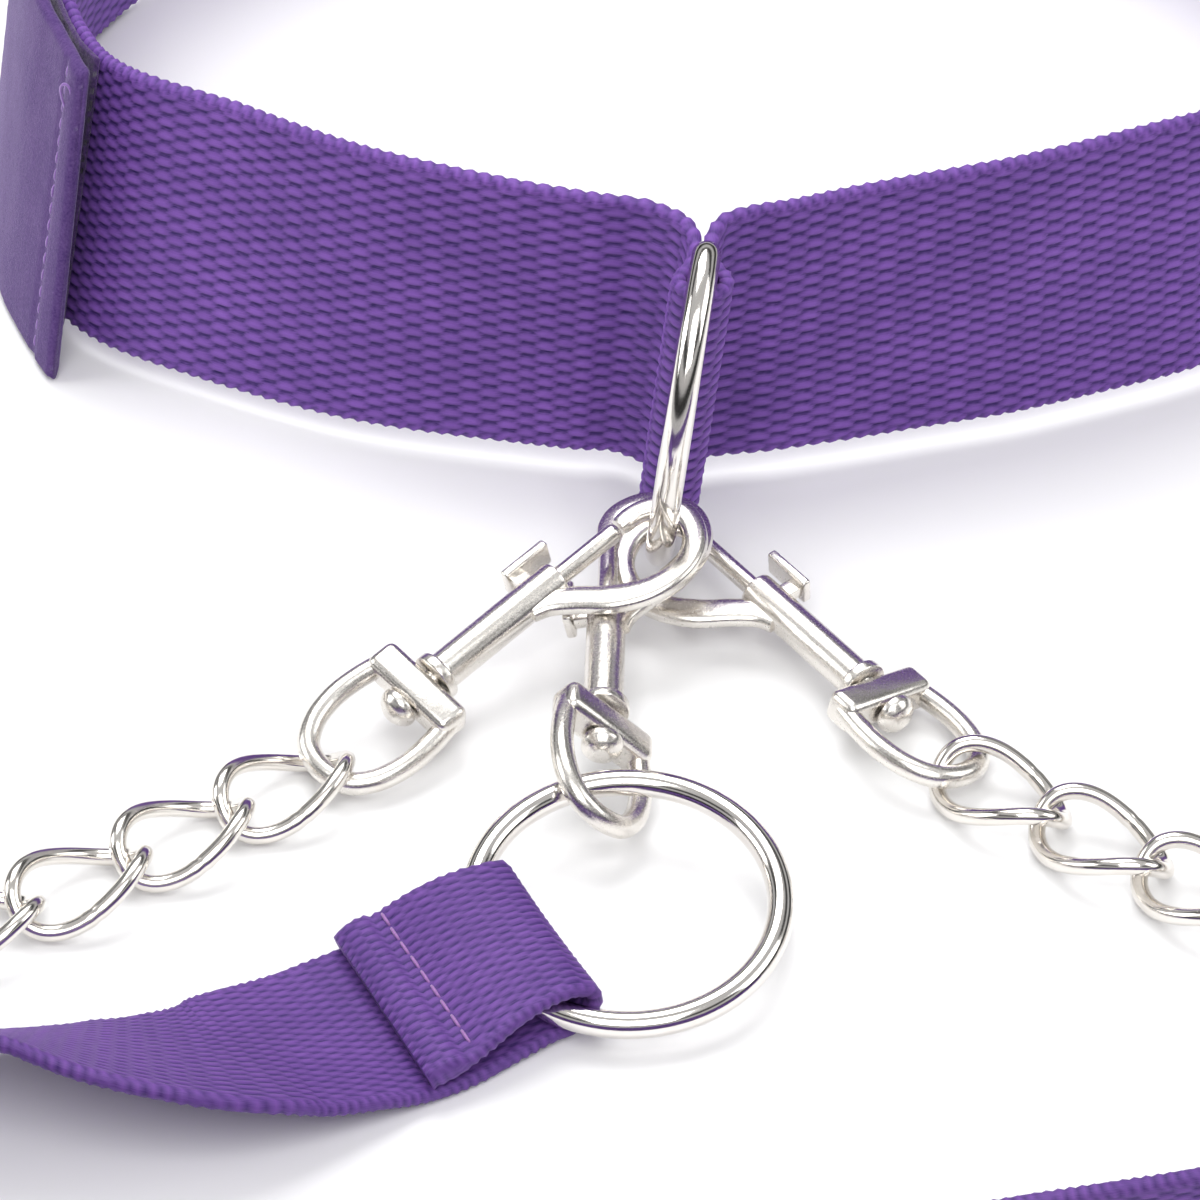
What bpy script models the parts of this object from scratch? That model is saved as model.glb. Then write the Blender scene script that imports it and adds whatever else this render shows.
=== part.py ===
# Webbing training collar: a flat webbing neck loop with a hook-and-loop closure, a D-ring in a folded tab, three swivel
# bolt snaps on the D-ring, two curb-chain leads that end in further bolt snaps, and a webbing lead on an O-ring.
# Metres, +Z up, +Y away from the D-ring side of the collar. Lengths below are in millimetres unless a name ends in _m.
import bpy
import bmesh
import math
from math import sin, cos, pi, radians, sqrt
from mathutils import Vector, Matrix

for o in list(bpy.data.objects):
    bpy.data.objects.remove(o, do_unlink=True)

MM = 0.001
SHIFT = Vector((-0.0051159, -0.0485432, -0.0002064))      # moves the whole part so that the row's origin is under its middle

# ---- driving dimensions ------------------------------------------------------------------------------------------
BAND_H = 38.0            # neck webbing width
BAND_T = 1.6             # neck webbing thickness
BAND_Z_FRONT = 3.5       # lower edge above the table at the D-ring
BAND_Z_BACK = 0.3        # lower edge above the table at the back
LEAD_W = 25.0            # lead webbing width
LEAD_T = 1.7             # lead webbing thickness
FLAP_H = 43.0            # closure flap height
FLAP_T = 1.9
PAD_T = 0.9              # hook strip and loop strip
DR_A = 21.2              # D-ring: half length of its centreline, along the bar
DR_B = 18.2              # D-ring: depth of the bow's centreline
DR_R = 1.75              # D-ring wire radius
DR_LEAN = 6.3            # sideways lean of the bar, degrees
OR_R = 17.15             # O-ring centreline radius
OR_WIRE = 1.6            # O-ring wire radius
LINK_IN = 14.1           # chain link inside length
LINK_PITCH = 13.7
LINK_WIRE = 1.05         # chain wire radius
LINK_HALF_W = 5.2        # centreline half width
LINK_TWIST = -84.0        # degrees, end to end
# bolt snap, along its own axis u (0 is the middle of the gate, + towards the hook's end)
SN_BARREL_R = 2.35
SN_BORE_R = 1.35
SN_BOLT_R = 1.2
SN_GATE = 5.2
SN_BARREL_END = -24.0
SN_FLANGE_R = 3.1
SN_FLANGE_END = -25.4
SN_POST_R = 1.3
SN_YOKE = (-25.7, -30.1)
SN_YOKE_W = 6.7          # half width of the yoke bar
SN_YOKE_HOLE = 1.4
SN_HEAD = (-30.4, -32.6)
SN_EYE_FAR = -44.4
SN_EYE_WIRE = 1.45
SN_HOOK_H = 1.05         # half thickness of the flattened hook
SN_TRAVEL = 6.0

# ---- materials ---------------------------------------------------------------------------------------------------
def material(name, rgb, rough, metal=0.0):
    m = bpy.data.materials.new(name)
    m.use_nodes = True
    b = m.node_tree.nodes.get("Principled BSDF")
    b.inputs["Base Color"].default_value = (*rgb, 1.0)
    b.inputs["Roughness"].default_value = rough
    b.inputs["Metallic"].default_value = metal
    m.diffuse_color = (*rgb, 1.0)
    return m

MATS = {}

def mat_for(kind, name):
    spec = {"webbing": ((0.16, 0.07, 0.34), 0.8, 0.0), "lead": ((0.18, 0.085, 0.38), 0.8, 0.0),
            "velvet": ((0.17, 0.10, 0.28), 0.9, 0.0), "hookpad": ((0.06, 0.03, 0.10), 0.95, 0.0),
            "nickel": ((0.82, 0.80, 0.78), 0.14, 1.0), "steel": ((0.62, 0.60, 0.58), 0.25, 1.0)}[kind]
    return material(name + "_mat", *spec)

# ---- mesh helpers ------------------------------------------------------------------------------------------------
def finish(name, me, kind, origin=None, smooth=True):
    """Object from a mesh given in millimetres; origin is the joint point in millimetres."""
    org = Vector(origin) if origin is not None else Vector((0, 0, 0))
    for v in me.vertices:
        v.co = (Vector(v.co) - org) * MM
    ob = bpy.data.objects.new(name, me)
    bpy.context.scene.collection.objects.link(ob)
    ob.location = org * MM + SHIFT
    me.materials.clear()
    me.materials.append(mat_for(kind, name))
    bm = bmesh.new()
    bm.from_mesh(me)
    bmesh.ops.recalc_face_normals(bm, faces=bm.faces)
    if bm.calc_volume(signed=True) < 0:
        bmesh.ops.reverse_faces(bm, faces=bm.faces)
    for f in bm.faces:
        f.smooth = smooth
    if smooth:
        for e in bm.edges:
            if len(e.link_faces) == 2 and e.calc_face_angle(0.0) > radians(40):
                e.smooth = False
    bm.to_mesh(me)
    bm.free()
    return ob

def mesh_from(verts, faces, name="m"):
    me = bpy.data.meshes.new(name)
    me.from_pydata([tuple(v) for v in verts], [], faces)
    me.validate()
    return me

def catmull(pts, n, closed=False):
    """n samples per span through the given points."""
    P = [Vector(p) for p in pts]
    out = []
    m = len(P)
    spans = m if closed else m - 1
    for i in range(spans):
        if closed:
            a, b, c, d = P[(i - 1) % m], P[i], P[(i + 1) % m], P[(i + 2) % m]
        else:
            a, b, c, d = P[max(i - 1, 0)], P[i], P[i + 1], P[min(i + 2, m - 1)]
        # centripetal parametrisation
        t0 = 0.0
        t1 = t0 + max((b - a).length, 1e-6) ** 0.5
        t2 = t1 + max((c - b).length, 1e-6) ** 0.5
        t3 = t2 + max((d - c).length, 1e-6) ** 0.5
        if (b - a).length < 1e-6:
            a = b - (c - b)
            t1 = t0 + (b - a).length ** 0.5
            t2 = t1 + (c - b).length ** 0.5
            t3 = t2 + max((d - c).length, 1e-6) ** 0.5
        if (d - c).length < 1e-6:
            d = c + (c - b)
            t3 = t2 + (d - c).length ** 0.5
        for k in range(n):
            t = t1 + (t2 - t1) * k / n
            A1 = a * ((t1 - t) / (t1 - t0)) + b * ((t - t0) / (t1 - t0))
            A2 = b * ((t2 - t) / (t2 - t1)) + c * ((t - t1) / (t2 - t1))
            A3 = c * ((t3 - t) / (t3 - t2)) + d * ((t - t2) / (t3 - t2))
            B1 = A1 * ((t2 - t) / (t2 - t0)) + A2 * ((t - t0) / (t2 - t0))
            B2 = A2 * ((t3 - t) / (t3 - t1)) + A3 * ((t - t1) / (t3 - t1))
            out.append(B1 * ((t2 - t) / (t2 - t1)) + B2 * ((t - t1) / (t2 - t1)))
    if not closed:
        out.append(P[-1].copy())
    return out

def resample(pts, step, closed=False):
    P = [Vector(p) for p in pts] + ([Vector(pts[0])] if closed else [])
    L = [0.0]
    for a, b in zip(P, P[1:]):
        L.append(L[-1] + (b - a).length)
    n = max(2, int(round(L[-1] / step)))
    out, j = [], 0
    for k in range(n + (0 if closed else 1)):
        s = L[-1] * k / n
        while j < len(L) - 2 and L[j + 1] < s:
            j += 1
        f = (s - L[j]) / max(L[j + 1] - L[j], 1e-9)
        out.append(P[j].lerp(P[j + 1], min(max(f, 0), 1)))
    return out

def tangents(P, closed):
    n = len(P)
    T = []
    for i in range(n):
        a = P[(i - 1) % n] if closed else P[max(i - 1, 0)]
        b = P[(i + 1) % n] if closed else P[min(i + 1, n - 1)]
        T.append((b - a).normalized())
    return T

def sweep(P, sides, section, closed, up0, ups=None):
    """Tube along P. section(i, n) gives (half width along the frame's side axis, half height along its up axis)."""
    n = len(P)
    T = tangents(P, closed)
    U = []
    if ups is not None:
        for t, u in zip(T, ups):
            u = Vector(u)
            U.append((u - t * u.dot(t)).normalized())
    else:
        u = Vector(up0)
        u = (u - T[0] * u.dot(T[0])).normalized()
        U.append(u)
        for i in range(1, n):
            u = U[-1] - T[i] * U[-1].dot(T[i])
            U.append(u.normalized())
        if closed:       # spread the closing twist
            u = U[-1] - T[0] * U[-1].dot(T[0])
            u.normalize()
            s = T[0].cross(U[0])
            ang = math.atan2(u.dot(s), u.dot(U[0]))
            for i in range(n):
                a = -ang * i / n
                q = Matrix.Rotation(a, 3, T[i])
                U[i] = (q @ U[i]).normalized()
    verts, faces = [], []
    for i in range(n):
        S = U[i].cross(T[i]).normalized()
        w, h = section(i, n)
        for k in range(sides):
            a = 2 * pi * (k + 0.5) / sides
            verts.append(P[i] + S * (w * cos(a)) + U[i] * (h * sin(a)))
    m = n if closed else n - 1
    for i in range(m):
        j = (i + 1) % n
        for k in range(sides):
            l = (k + 1) % sides
            faces.append((i * sides + k, i * sides + l, j * sides + l, j * sides + k))
    if not closed:
        faces.append(tuple(range(sides - 1, -1, -1)))
        faces.append(tuple((n - 1) * sides + k for k in range(sides)))
    return mesh_from(verts, faces)

def tube(P, r, sides, closed=False, up0=(0, 0, 1)):
    return sweep(P, sides, lambda i, n: (r, r), closed, up0)

def strip(P, W, N, half_w, n_lo, n_hi, chamfer=0.35):
    """Closed flat strip: P centreline, W unit width vectors, N unit thickness vectors; spans n_lo..n_hi along N."""
    verts, faces = [], []
    prof = None
    for i, (p, w, nn) in enumerate(zip(P, W, N)):
        hw = half_w(i) if callable(half_w) else half_w
        lo = n_lo(i) if callable(n_lo) else n_lo
        hi = n_hi(i) if callable(n_hi) else n_hi
        c = chamfer
        prof = [(-hw + c, lo), (hw - c, lo), (hw, lo + c), (hw, hi - c), (hw - c, hi), (-hw + c, hi), (-hw, hi - c), (-hw, lo + c)]
        for a, b in prof:
            verts.append(p + w * a + nn * b)
    k = len(prof)
    n = len(P)
    for i in range(n - 1):
        for a in range(k):
            b = (a + 1) % k
            faces.append((i * k + a, i * k + b, (i + 1) * k + b, (i + 1) * k + a))
    faces.append(tuple(range(k - 1, -1, -1)))
    faces.append(tuple((n - 1) * k + a for a in range(k)))
    return mesh_from(verts, faces)

def cylinder(u0, u1, r0, r1, sides, phase=0.5):
    """Along local u (X)."""
    verts, faces = [], []
    for u, r in ((u0, r0), (u1, r1)):
        for k in range(sides):
            a = 2 * pi * (k + phase) / sides
            verts.append(Vector((u, r * cos(a), r * sin(a))))
    for k in range(sides):
        l = (k + 1) % sides
        faces.append((k, l, sides + l, sides + k))
    faces.append(tuple(range(sides - 1, -1, -1)))
    faces.append(tuple(sides + k for k in range(sides)))
    return mesh_from(verts, faces)

def lathe(prof, sides, phase=0.5):
    """Closed solid of revolution about u from (u, r) rows; the first and last rows are flat ends."""
    verts, faces = [], []
    for u, r in prof:
        for k in range(sides):
            a = 2 * pi * (k + phase) / sides
            verts.append(Vector((u, r * cos(a), r * sin(a))))
    for i in range(len(prof) - 1):
        for k in range(sides):
            l = (k + 1) % sides
            faces.append((i * sides + k, i * sides + l, (i + 1) * sides + l, (i + 1) * sides + k))
    faces.append(tuple(range(sides - 1, -1, -1)))
    n = len(prof) - 1
    faces.append(tuple(n * sides + k for k in range(sides)))
    return mesh_from(verts, faces)

def box(lo, hi):
    (x0, y0, z0), (x1, y1, z1) = lo, hi
    v = [(x0, y0, z0), (x1, y0, z0), (x1, y1, z0), (x0, y1, z0), (x0, y0, z1), (x1, y0, z1), (x1, y1, z1), (x0, y1, z1)]
    f = [(0, 3, 2, 1), (4, 5, 6, 7), (0, 1, 5, 4), (1, 2, 6, 5), (2, 3, 7, 6), (3, 0, 4, 7)]
    return mesh_from(v, f)

def fix_normals(me):
    bm = bmesh.new()
    bm.from_mesh(me)
    bmesh.ops.recalc_face_normals(bm, faces=bm.faces)
    bm.to_mesh(me)
    bm.free()

def boolean(base, others):
    """base mesh, then (operation, mesh) in order; returns a new mesh."""
    fix_normals(base)
    ob = bpy.data.objects.new("tmp_base", base)
    bpy.context.scene.collection.objects.link(ob)
    helpers = []
    for op, me in others:
        fix_normals(me)
        h = bpy.data.objects.new("tmp_cut", me)
        bpy.context.scene.collection.objects.link(h)
        h.hide_render = True
        h.display_type = 'WIRE'
        helpers.append(h)
        md = ob.modifiers.new("b", 'BOOLEAN')
        md.operation = op
        md.solver = 'EXACT'
        md.object = h
    dg = bpy.context.evaluated_depsgraph_get()
    dg.update()
    out = bpy.data.meshes.new_from_object(ob.evaluated_get(dg))
    bpy.data.objects.remove(ob, do_unlink=True)
    for h in helpers:
        bpy.data.objects.remove(h, do_unlink=True)
    bm = bmesh.new()
    bm.from_mesh(out)
    bmesh.ops.remove_doubles(bm, verts=bm.verts, dist=0.004)
    bmesh.ops.dissolve_degenerate(bm, edges=bm.edges, dist=0.004)
    bm.to_mesh(out)
    bm.free()
    return out

def moved(me, mat, name):
    m = me.copy()
    m.name = name
    m.transform(mat)
    return m

# ---- bolt snap master meshes (local: X along the axis u, Y towards the crescent v, Z across w) ------------------------
HOOK_PATH = [(-10.5, 1.2), (-8.2, 1.9), (-5.7, 3.9), (-3.2, 7.2), (0.4, 9.8), (4.6, 10.9), (8.4, 9.8), (10.8, 7.1), (11.6, 4.0),
             (10.4, 1.2), (8.0, -0.1), (SN_GATE + 0.15, -0.15)]

def snap_hook():
    P = resample(catmull([(u, v, 0.0) for u, v in HOOK_PATH], 4), 2.3)
    n = len(P)
    def sec(i, m):
        f = i / (m - 1)
        rad = 1.55 + 0.35 * max(0.0, 1 - f / 0.3) - 0.3 * max(0.0, (f - 0.75) / 0.25)
        return (rad, SN_HOOK_H)
    hook = sweep(P, 8, sec, False, (0, 0, 1))
    barrel = lathe([(-SN_GATE, SN_BARREL_R - 0.25), (-SN_GATE - 0.35, SN_BARREL_R), (SN_BARREL_END, SN_BARREL_R),
                    (SN_BARREL_END - 0.2, SN_FLANGE_R), (SN_FLANGE_END, SN_FLANGE_R), (SN_FLANGE_END - 0.02, SN_POST_R),
                    (SN_HEAD[0], SN_POST_R), (SN_HEAD[0] - 0.02, 2.5), (SN_HEAD[0] - 0.9, 2.45), (SN_HEAD[1] + 0.5, 1.8),
                    (SN_HEAD[1], 0.7)], 12)
    bore = cylinder(-22.9, -SN_GATE + 1.6, SN_BORE_R, SN_BORE_R, 12)
    slot = box((-15.4, -4.0, -0.95), (-6.5, -0.3, 0.95))
    return boolean(barrel, [('UNION', hook), ('DIFFERENCE', bore), ('DIFFERENCE', slot)])

def snap_bolt():
    rod = lathe([(-11.6, SN_BOLT_R), (SN_GATE - 0.9, SN_BOLT_R), (SN_GATE - 0.25, 0.85)], 12)
    stem = box((-9.0, -4.1, -0.75), (-6.9, -0.55, 0.75))
    pad = box((-9.5, -5.1, -1.7), (-2.6, -3.85, 1.7))
    return boolean(rod, [('UNION', stem), ('UNION', pad)])

def snap_spring():
    P = []
    coils, per = 3, 7
    u0, u1 = -22.35, -18.35
    for i in range(coils * per + 1):
        a = 2 * pi * i / per
        P.append(Vector((u0 + (u1 - u0) * i / (coils * per), 0.98 * cos(a), 0.98 * sin(a))))
    return sweep(P, 4, lambda i, n: (0.26, 0.26), False, (1, 0, 0))

def snap_eye():
    bar = box((SN_YOKE[1], -SN_YOKE_W, -2.1), (SN_YOKE[0], SN_YOKE_W, 2.1))
    bm = bmesh.new()
    bm.from_mesh(bar)
    bmesh.ops.bevel(bm, geom=[e for e in bm.edges if abs((e.verts[0].co - e.verts[1].co).z) > 3], offset=0.9, segments=1,
                    affect='EDGES', profile=0.5)
    bm.to_mesh(bar)
    bm.free()
    pts = [(-28.0, -5.55), (-31.5, -6.15), (-35.5, -6.3), (-39.5, -5.6), (-42.8, -3.7), (SN_EYE_FAR + 1.6, -1.5)]
    pts = pts + [(u, -v) for u, v in reversed(pts)]
    P = resample(catmull([(u, v, 0) for u, v in pts], 4), 3.0)
    bow = sweep(P, 8, lambda i, n: (SN_EYE_WIRE, SN_EYE_WIRE), False, (0, 0, 1))
    hole = cylinder(SN_YOKE[1] - 1, SN_YOKE[0] + 1, SN_YOKE_HOLE, SN_YOKE_HOLE, 12)
    return boolean(bar, [('UNION', bow), ('DIFFERENCE', hole)])

MASTER = {"hook": snap_hook(), "bolt": snap_bolt(), "spring": snap_spring(), "eye": snap_eye()}

def frame(origin, axis, side):
    """Matrix with local X along axis, local Y near side."""
    X = Vector(axis).normalized()
    Y = Vector(side)
    Y = (Y - X * Y.dot(X)).normalized()
    Z = X.cross(Y)
    M = Matrix((X, Y, Z)).transposed().to_4x4()
    M.translation = Vector(origin)
    return M

def put_snap(tag, M, eye_roll):
    for part, kind in (("hook", "nickel"), ("bolt", "nickel"), ("spring", "steel"), ("eye", "nickel")):
        L = M
        if part == "eye":
            L = M @ Matrix.Rotation(radians(eye_roll), 4, 'X')
        name = {"hook": "snap_%s_hook_body", "bolt": "snap_%s_bolt", "spring": "snap_%s_spring", "eye": "snap_%s_swivel_eye"}[part] % tag
        org = M @ Vector((SN_YOKE[0], 0, 0)) if part == "eye" else M @ Vector((0, 0, 0))
        finish(name, moved(MASTER[part], L, name), kind, origin=org)

# ---- D-ring -----------------------------------------------------------------------------------------------------------
DR_C = Vector((10.4, 12.5, DR_A * cos(radians(DR_LEAN)) + DR_R + 0.15))
DR_U = Vector((sin(radians(DR_LEAN)), 0, cos(radians(DR_LEAN))))
DR_F = Vector((-0.12, -0.993, 0.0))
DR_F = (DR_F - DR_U * DR_F.dot(DR_U)).normalized()

def dring_point(phi):
    """Bow centreline; phi 0 is furthest forward, +90 is the lower end."""
    p = radians(phi)
    return DR_C + DR_F * (DR_B * cos(p)) - DR_U * (DR_A * sin(p))

def make_dring():
    rc = 3.6
    pts = []
    for k in range(0, 21):
        phi = -78 + 156 * k / 20
        pts.append(dring_point(phi))
    low = [DR_C + DR_F * 1.1 - DR_U * (DR_A - 0.35), DR_C - DR_U * (DR_A - 1.6), DR_C - DR_U * (DR_A - rc)]
    bar = [DR_C - DR_U * 8, DR_C + DR_U * 0, DR_C + DR_U * 8]
    high = [DR_C + DR_U * (DR_A - rc), DR_C + DR_U * (DR_A - 1.6), DR_C + DR_F * 1.1 + DR_U * (DR_A - 0.35)]
    P = catmull(pts + low + bar + high, 1, closed=True)
    me = tube(P, DR_R, 8, closed=True, up0=DR_U.cross(DR_F))
    finish("d_ring", me, "nickel", origin=DR_C)

make_dring()

# ---- collar band ----------------------------------------------------------------------------------------------------
# outer face of the loop at its lower edge, from the right side of the tab round to the closure, in plan
RIGHT = [(16.6, 23.5), (20.5, 24.1), (31.6, 27.0), (43.1, 30.1), (50.9, 32.1), (64.0, 36.9), (77.4, 42.6), (90.5, 51.5), (100.0, 65.0),
         (104.0, 82.0), (103.5, 102.0), (98.5, 123.0), (87.5, 143.0), (69.0, 160.0), (43.0, 171.0), (14.0, 174.5),
         (-14.0, 171.0), (-38.0, 161.5), (-56.5, 147.0), (-68.5, 131.5), (-75.4, 117.0), (-78.0, 107.0)]
LEFT = [(4.0, 24.2), (0.0, 24.6), (-12.6, 26.6), (-31.8, 31.1), (-51.4, 39.8), (-66.5, 49.0), (-73.2, 58.5), (-76.6, 70.0),
        (-78.4, 83.0), (-78.9, 95.0), (-78.3, 105.2)]
# how far the top edge leans in, against plan angle round the loop's middle
LOOP_MID = Vector((12.0, 98.0, 0.0))
PINCH_X = 10.6
BAR_Y = DR_C.y

def z_low(y):
    f = min(max((y - 22.0) / 150.0, 0.0), 1.0)
    return BAND_Z_FRONT + (BAND_Z_BACK - BAND_Z_FRONT) * f

def lean_in(p):
    """Inward lean of the top edge, mm, by place round the loop."""
    x, y = p.x, p.y
    near = min(1.0, max(0.0, abs(x - PINCH_X) - 5.0) / 55.0)
    if y < 60:
        return (8.4 if x < PINCH_X else 2.7) * near ** 0.9
    if x < -50:
        return 8.4 - 4.4 * min(1.0, (y - 60) / 70.0)
    return 2.7

def lean_x(p):
    """Sideways lean of the pinch and tab with the D-ring bar."""
    d = math.hypot(p.x - PINCH_X, max(0.0, p.y - 24.0))
    return math.tan(radians(DR_LEAN)) * max(0.0, 1.0 - max(0.0, d - 5.0) / 16.0)

def band_frames(P2, lift=0.0):
    """Centre points, width vectors and outward normals for a plan path (outer face at the lower edge)."""
    P = [Vector((p[0], p[1], 0)) for p in P2]
    T = tangents(P, False)
    C, W, N = [], [], []
    for p, t in zip(P, T):
        nrm = Vector((t.y, -t.x, 0)).normalized()      # right of travel
        C.append(p)
        N.append(nrm)
    return C, T, N

tab_half = DR_R + 0.3            # inside radius of the fold round the bar
TAB_PINCH = 1.7                  # how far each edge of the webbing draws in where it folds round the bar
def band_path():
    """Whole band as one plan path: closure end, left half, out along the tab, round the bar, back, right half."""
    h = BAND_T
    xl, xr = DR_C.x - tab_half, DR_C.x + tab_half
    left = [Vector((x, y, 0)) for x, y in reversed(LEFT)]
    # the tab: the inside face of the fold is tab_half from the bar's axis; the two layers close up behind the bar
    g = 0.16
    lt = [Vector((6.9, 22.4, 0)), Vector((DR_C.x - g - h, 19.0, 0)), Vector((DR_C.x - g - h, 16.6, 0)), Vector((DR_C.x - tab_half - h + 0.5, 14.1, 0))]
    arc = []
    for k in range(9):
        a = pi + pi * k / 8
        arc.append(Vector((DR_C.x + (tab_half + h) * cos(a), DR_C.y + (tab_half + h) * sin(a), 0)))
    rt = [Vector((2 * DR_C.x - v.x, v.y, 0)) for v in reversed(lt)]
    right = [Vector((x, y, 0)) for x, y in RIGHT]
    left_s = resample(catmull(left, 6), 6.0)
    right_s = resample(catmull(right, 6), 6.0)
    mid = catmull([left[-1]] + lt + arc + rt + [right[0]], 2)
    return left_s[:-1] + mid + right_s[1:]

def make_band():
    P = band_path()
    T = tangents(P, False)
    verts, faces = [], []
    c = 0.3
    n = len(P)
    for i, (p, t) in enumerate(zip(P, T)):
        nrm = Vector((t.y, -t.x, 0)).normalized()      # outward (right of travel)
        zb = z_low(p.y)
        kx = lean_x(p)
        li = lean_in(p)
        inward = -nrm
        e = TAB_PINCH * min(1.0, max(0.0, (20.5 - p.y) / 5.0))
        for a, b in ((c + e, 0), (BAND_H - c - e, 0), (BAND_H - e, c), (BAND_H - e, BAND_T - c), (BAND_H - c - e, BAND_T), (c + e, BAND_T),
                     (e, BAND_T - c), (e, c)):
            q = p + inward * b + Vector((0, 0, zb + a))
            q = q + inward * (li * a / BAND_H) + Vector((kx * (zb + a - DR_C.z), 0, 0))
            verts.append(q)
    k = 8
    for i in range(n - 1):
        for a in range(k):
            b = (a + 1) % k
            faces.append((i * k + a, i * k + b, (i + 1) * k + b, (i + 1) * k + a))
    faces.append(tuple(range(k - 1, -1, -1)))
    faces.append(tuple((n - 1) * k + a for a in range(k)))
    finish("collar_band", mesh_from(verts, faces), "webbing")
    return P

BANDP = make_band()

# ---- closure: pads and flap on the outer face of the left end ----------------------------------------------------------
def outer_strip(path, off0, off1, z0, z1, name, kind, origin=None, chamfer=0.3, lean=True, flare=None):
    """Strip that follows the band's outer face; offsets are outward from that face."""
    P = resample(catmull([Vector((x, y, 0)) for x, y in path], 6), 5.0)
    T = tangents(P, False)
    verts, faces = [], []
    n = len(P)
    c = chamfer
    for i, (p, t) in enumerate(zip(P, T)):
        nrm = Vector((t.y, -t.x, 0)).normalized()
        f = i / (n - 1)
        o0 = off0(f) if callable(off0) else off0
        o1 = off1(f) if callable(off1) else off1
        zb = z_low(p.y)
        li = lean_in(p)
        za, zt = (z0(f) if callable(z0) else z0), (z1(f) if callable(z1) else z1)
        H = zt - za
        for a, b in ((c, o0), (H - c, o0), (H, o0 + c), (H, o1 - c), (H - c, o1), (c, o1), (0, o1 - c), (0, o0 + c)):
            h = za + a - zb                       # height above the band's lower edge
            q = p + nrm * (b - li * h / BAND_H)
            q.z = za + a
            verts.append(q)
    k = 8
    for i in range(n - 1):
        for a in range(k):
            b = (a + 1) % k
            faces.append((i * k + a, i * k + b, (i + 1) * k + b, (i + 1) * k + a))
    faces.append(tuple(range(k - 1, -1, -1)))
    faces.append(tuple((n - 1) * k + a for a in range(k)))
    return finish(name, mesh_from(verts, faces), kind, origin=origin)

# paths run rear to front, so that the outward side is to the right of travel
CL = [(-75.4, 117.0), (-78.0, 107.0), (-78.9, 95.0), (-78.4, 83.0), (-76.6, 70.0), (-73.2, 58.5), (-66.5, 49.0)]
GAP = 0.3
# loop strip on the band's closure end, hook strip on the flap's inside, both between the band and the flap
PAD_PATH = [(-78.4, 103.0), (-78.9, 95.0), (-78.4, 83.0), (-76.6, 70.0), (-73.2, 58.5), (-69.6, 52.6)]
def pad_low(f):
    return 4.4 - 2.4 * (1 - f)
def pad_high(f):
    return 40.5 - 2.4 * (1 - f)
outer_strip(PAD_PATH, GAP, GAP + PAD_T, pad_low, pad_high, "loop_strip", "hookpad", chamfer=0.2)
FLAP_PIVOT = Vector((-79.4, 112.0, 0.0))
outer_strip([(-68.5, 131.5), (-72.9, 123.0), (-75.4, 117.0), (-76.55, 112.8)], GAP, GAP + FLAP_T,
            0.5, 0.5 + FLAP_H, "closure_flap_anchor", "velvet", chamfer=0.5)
def flap_off(f):
    """The free flap leaves the anchor, rides over the strips and stands a little off at its free end."""
    rise = min(1.0, f / 0.12)
    tip = max(0.0, (f - 0.80) / 0.20)
    return GAP + (2 * GAP + 2 * PAD_T) * rise * rise * (3 - 2 * rise) + 2.6 * tip * tip
FLAP_PATH = [(-76.9, 111.8), (-78.0, 107.0), (-78.9, 95.0), (-78.4, 83.0), (-76.6, 70.0), (-73.2, 58.5), (-69.2, 51.9), (-65.8, 48.3)]
outer_strip(FLAP_PATH, flap_off, lambda f: flap_off(f) + FLAP_T, 0.5, 0.5 + FLAP_H, "closure_flap", "velvet",
            origin=FLAP_PIVOT, chamfer=0.5)
outer_strip([(-78.75, 101.0), (-78.9, 95.0), (-78.4, 83.0), (-76.6, 70.0), (-74.0, 60.5)], 2 * GAP + PAD_T, 2 * GAP + 2 * PAD_T, pad_low, pad_high,
            "hook_strip", "hookpad", origin=FLAP_PIVOT, chamfer=0.2)

# ---- the three snaps on the D-ring ----------------------------------------------------------------------------------
def snap_matrix(W, uv, plan_deg, slope_deg, side_plan_deg, side_drop_deg):
    """W is the point held at local (u, v, 0); plan_deg is the direction from the swivel towards the hook's end."""
    a, b = radians(plan_deg), radians(slope_deg)
    X = Vector((cos(a) * cos(b), sin(a) * cos(b), sin(b)))
    c, d = radians(side_plan_deg), radians(side_drop_deg)
    Y = Vector((cos(c) * cos(d), sin(c) * cos(d), -sin(d)))
    M = frame((0, 0, 0), X, Y)
    off = M.to_3x3() @ Vector((uv[0], uv[1], 0))
    M.translation = Vector(W) - off
    return M

def at_height(z):
    """Bow centreline point at height z, on the bow's lower half."""
    f = (DR_C.z - z) / (DR_A * DR_U.z)
    return dring_point(math.degrees(math.asin(min(1.0, f))))

WPT = {"left": at_height(13.53), "right": at_height(6.44), "centre": at_height(9.32)}      # where the D-ring wire runs through each hook
SNAPS = {
    "left": (snap_matrix(WPT["left"], (7.94, 4.79), 43.07, 11.50, -46.93, -2.80), 18.0),
    "right": (snap_matrix(WPT["right"], (7.30, 4.92), 128.14, 4.20, 218.14, 7.24), 20.0),
    "centre": (snap_matrix(WPT["centre"], (2.93, 6.40), 88.70, 0.40, -1.30, -12.61), 57.0),
}
for tag, (M, roll) in SNAPS.items():
    put_snap(tag, M, roll)

# ---- O-ring ------------------------------------------------------------------------------------------------------------
OR_C = Vector((3.03, -58.8, 6.15))
OR_TILT = 7.5
def oring_point(deg, r=None):
    a, t = radians(deg), radians(OR_TILT)
    r = OR_R if r is None else r
    return OR_C + Vector((r * cos(a), r * sin(a) * cos(t), r * sin(a) * sin(t)))
finish("o_ring", tube([oring_point(360 * k / 36) for k in range(36)], OR_WIRE, 8, closed=True, up0=(0, 0, 1)), "nickel",
       origin=oring_point(90))

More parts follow.
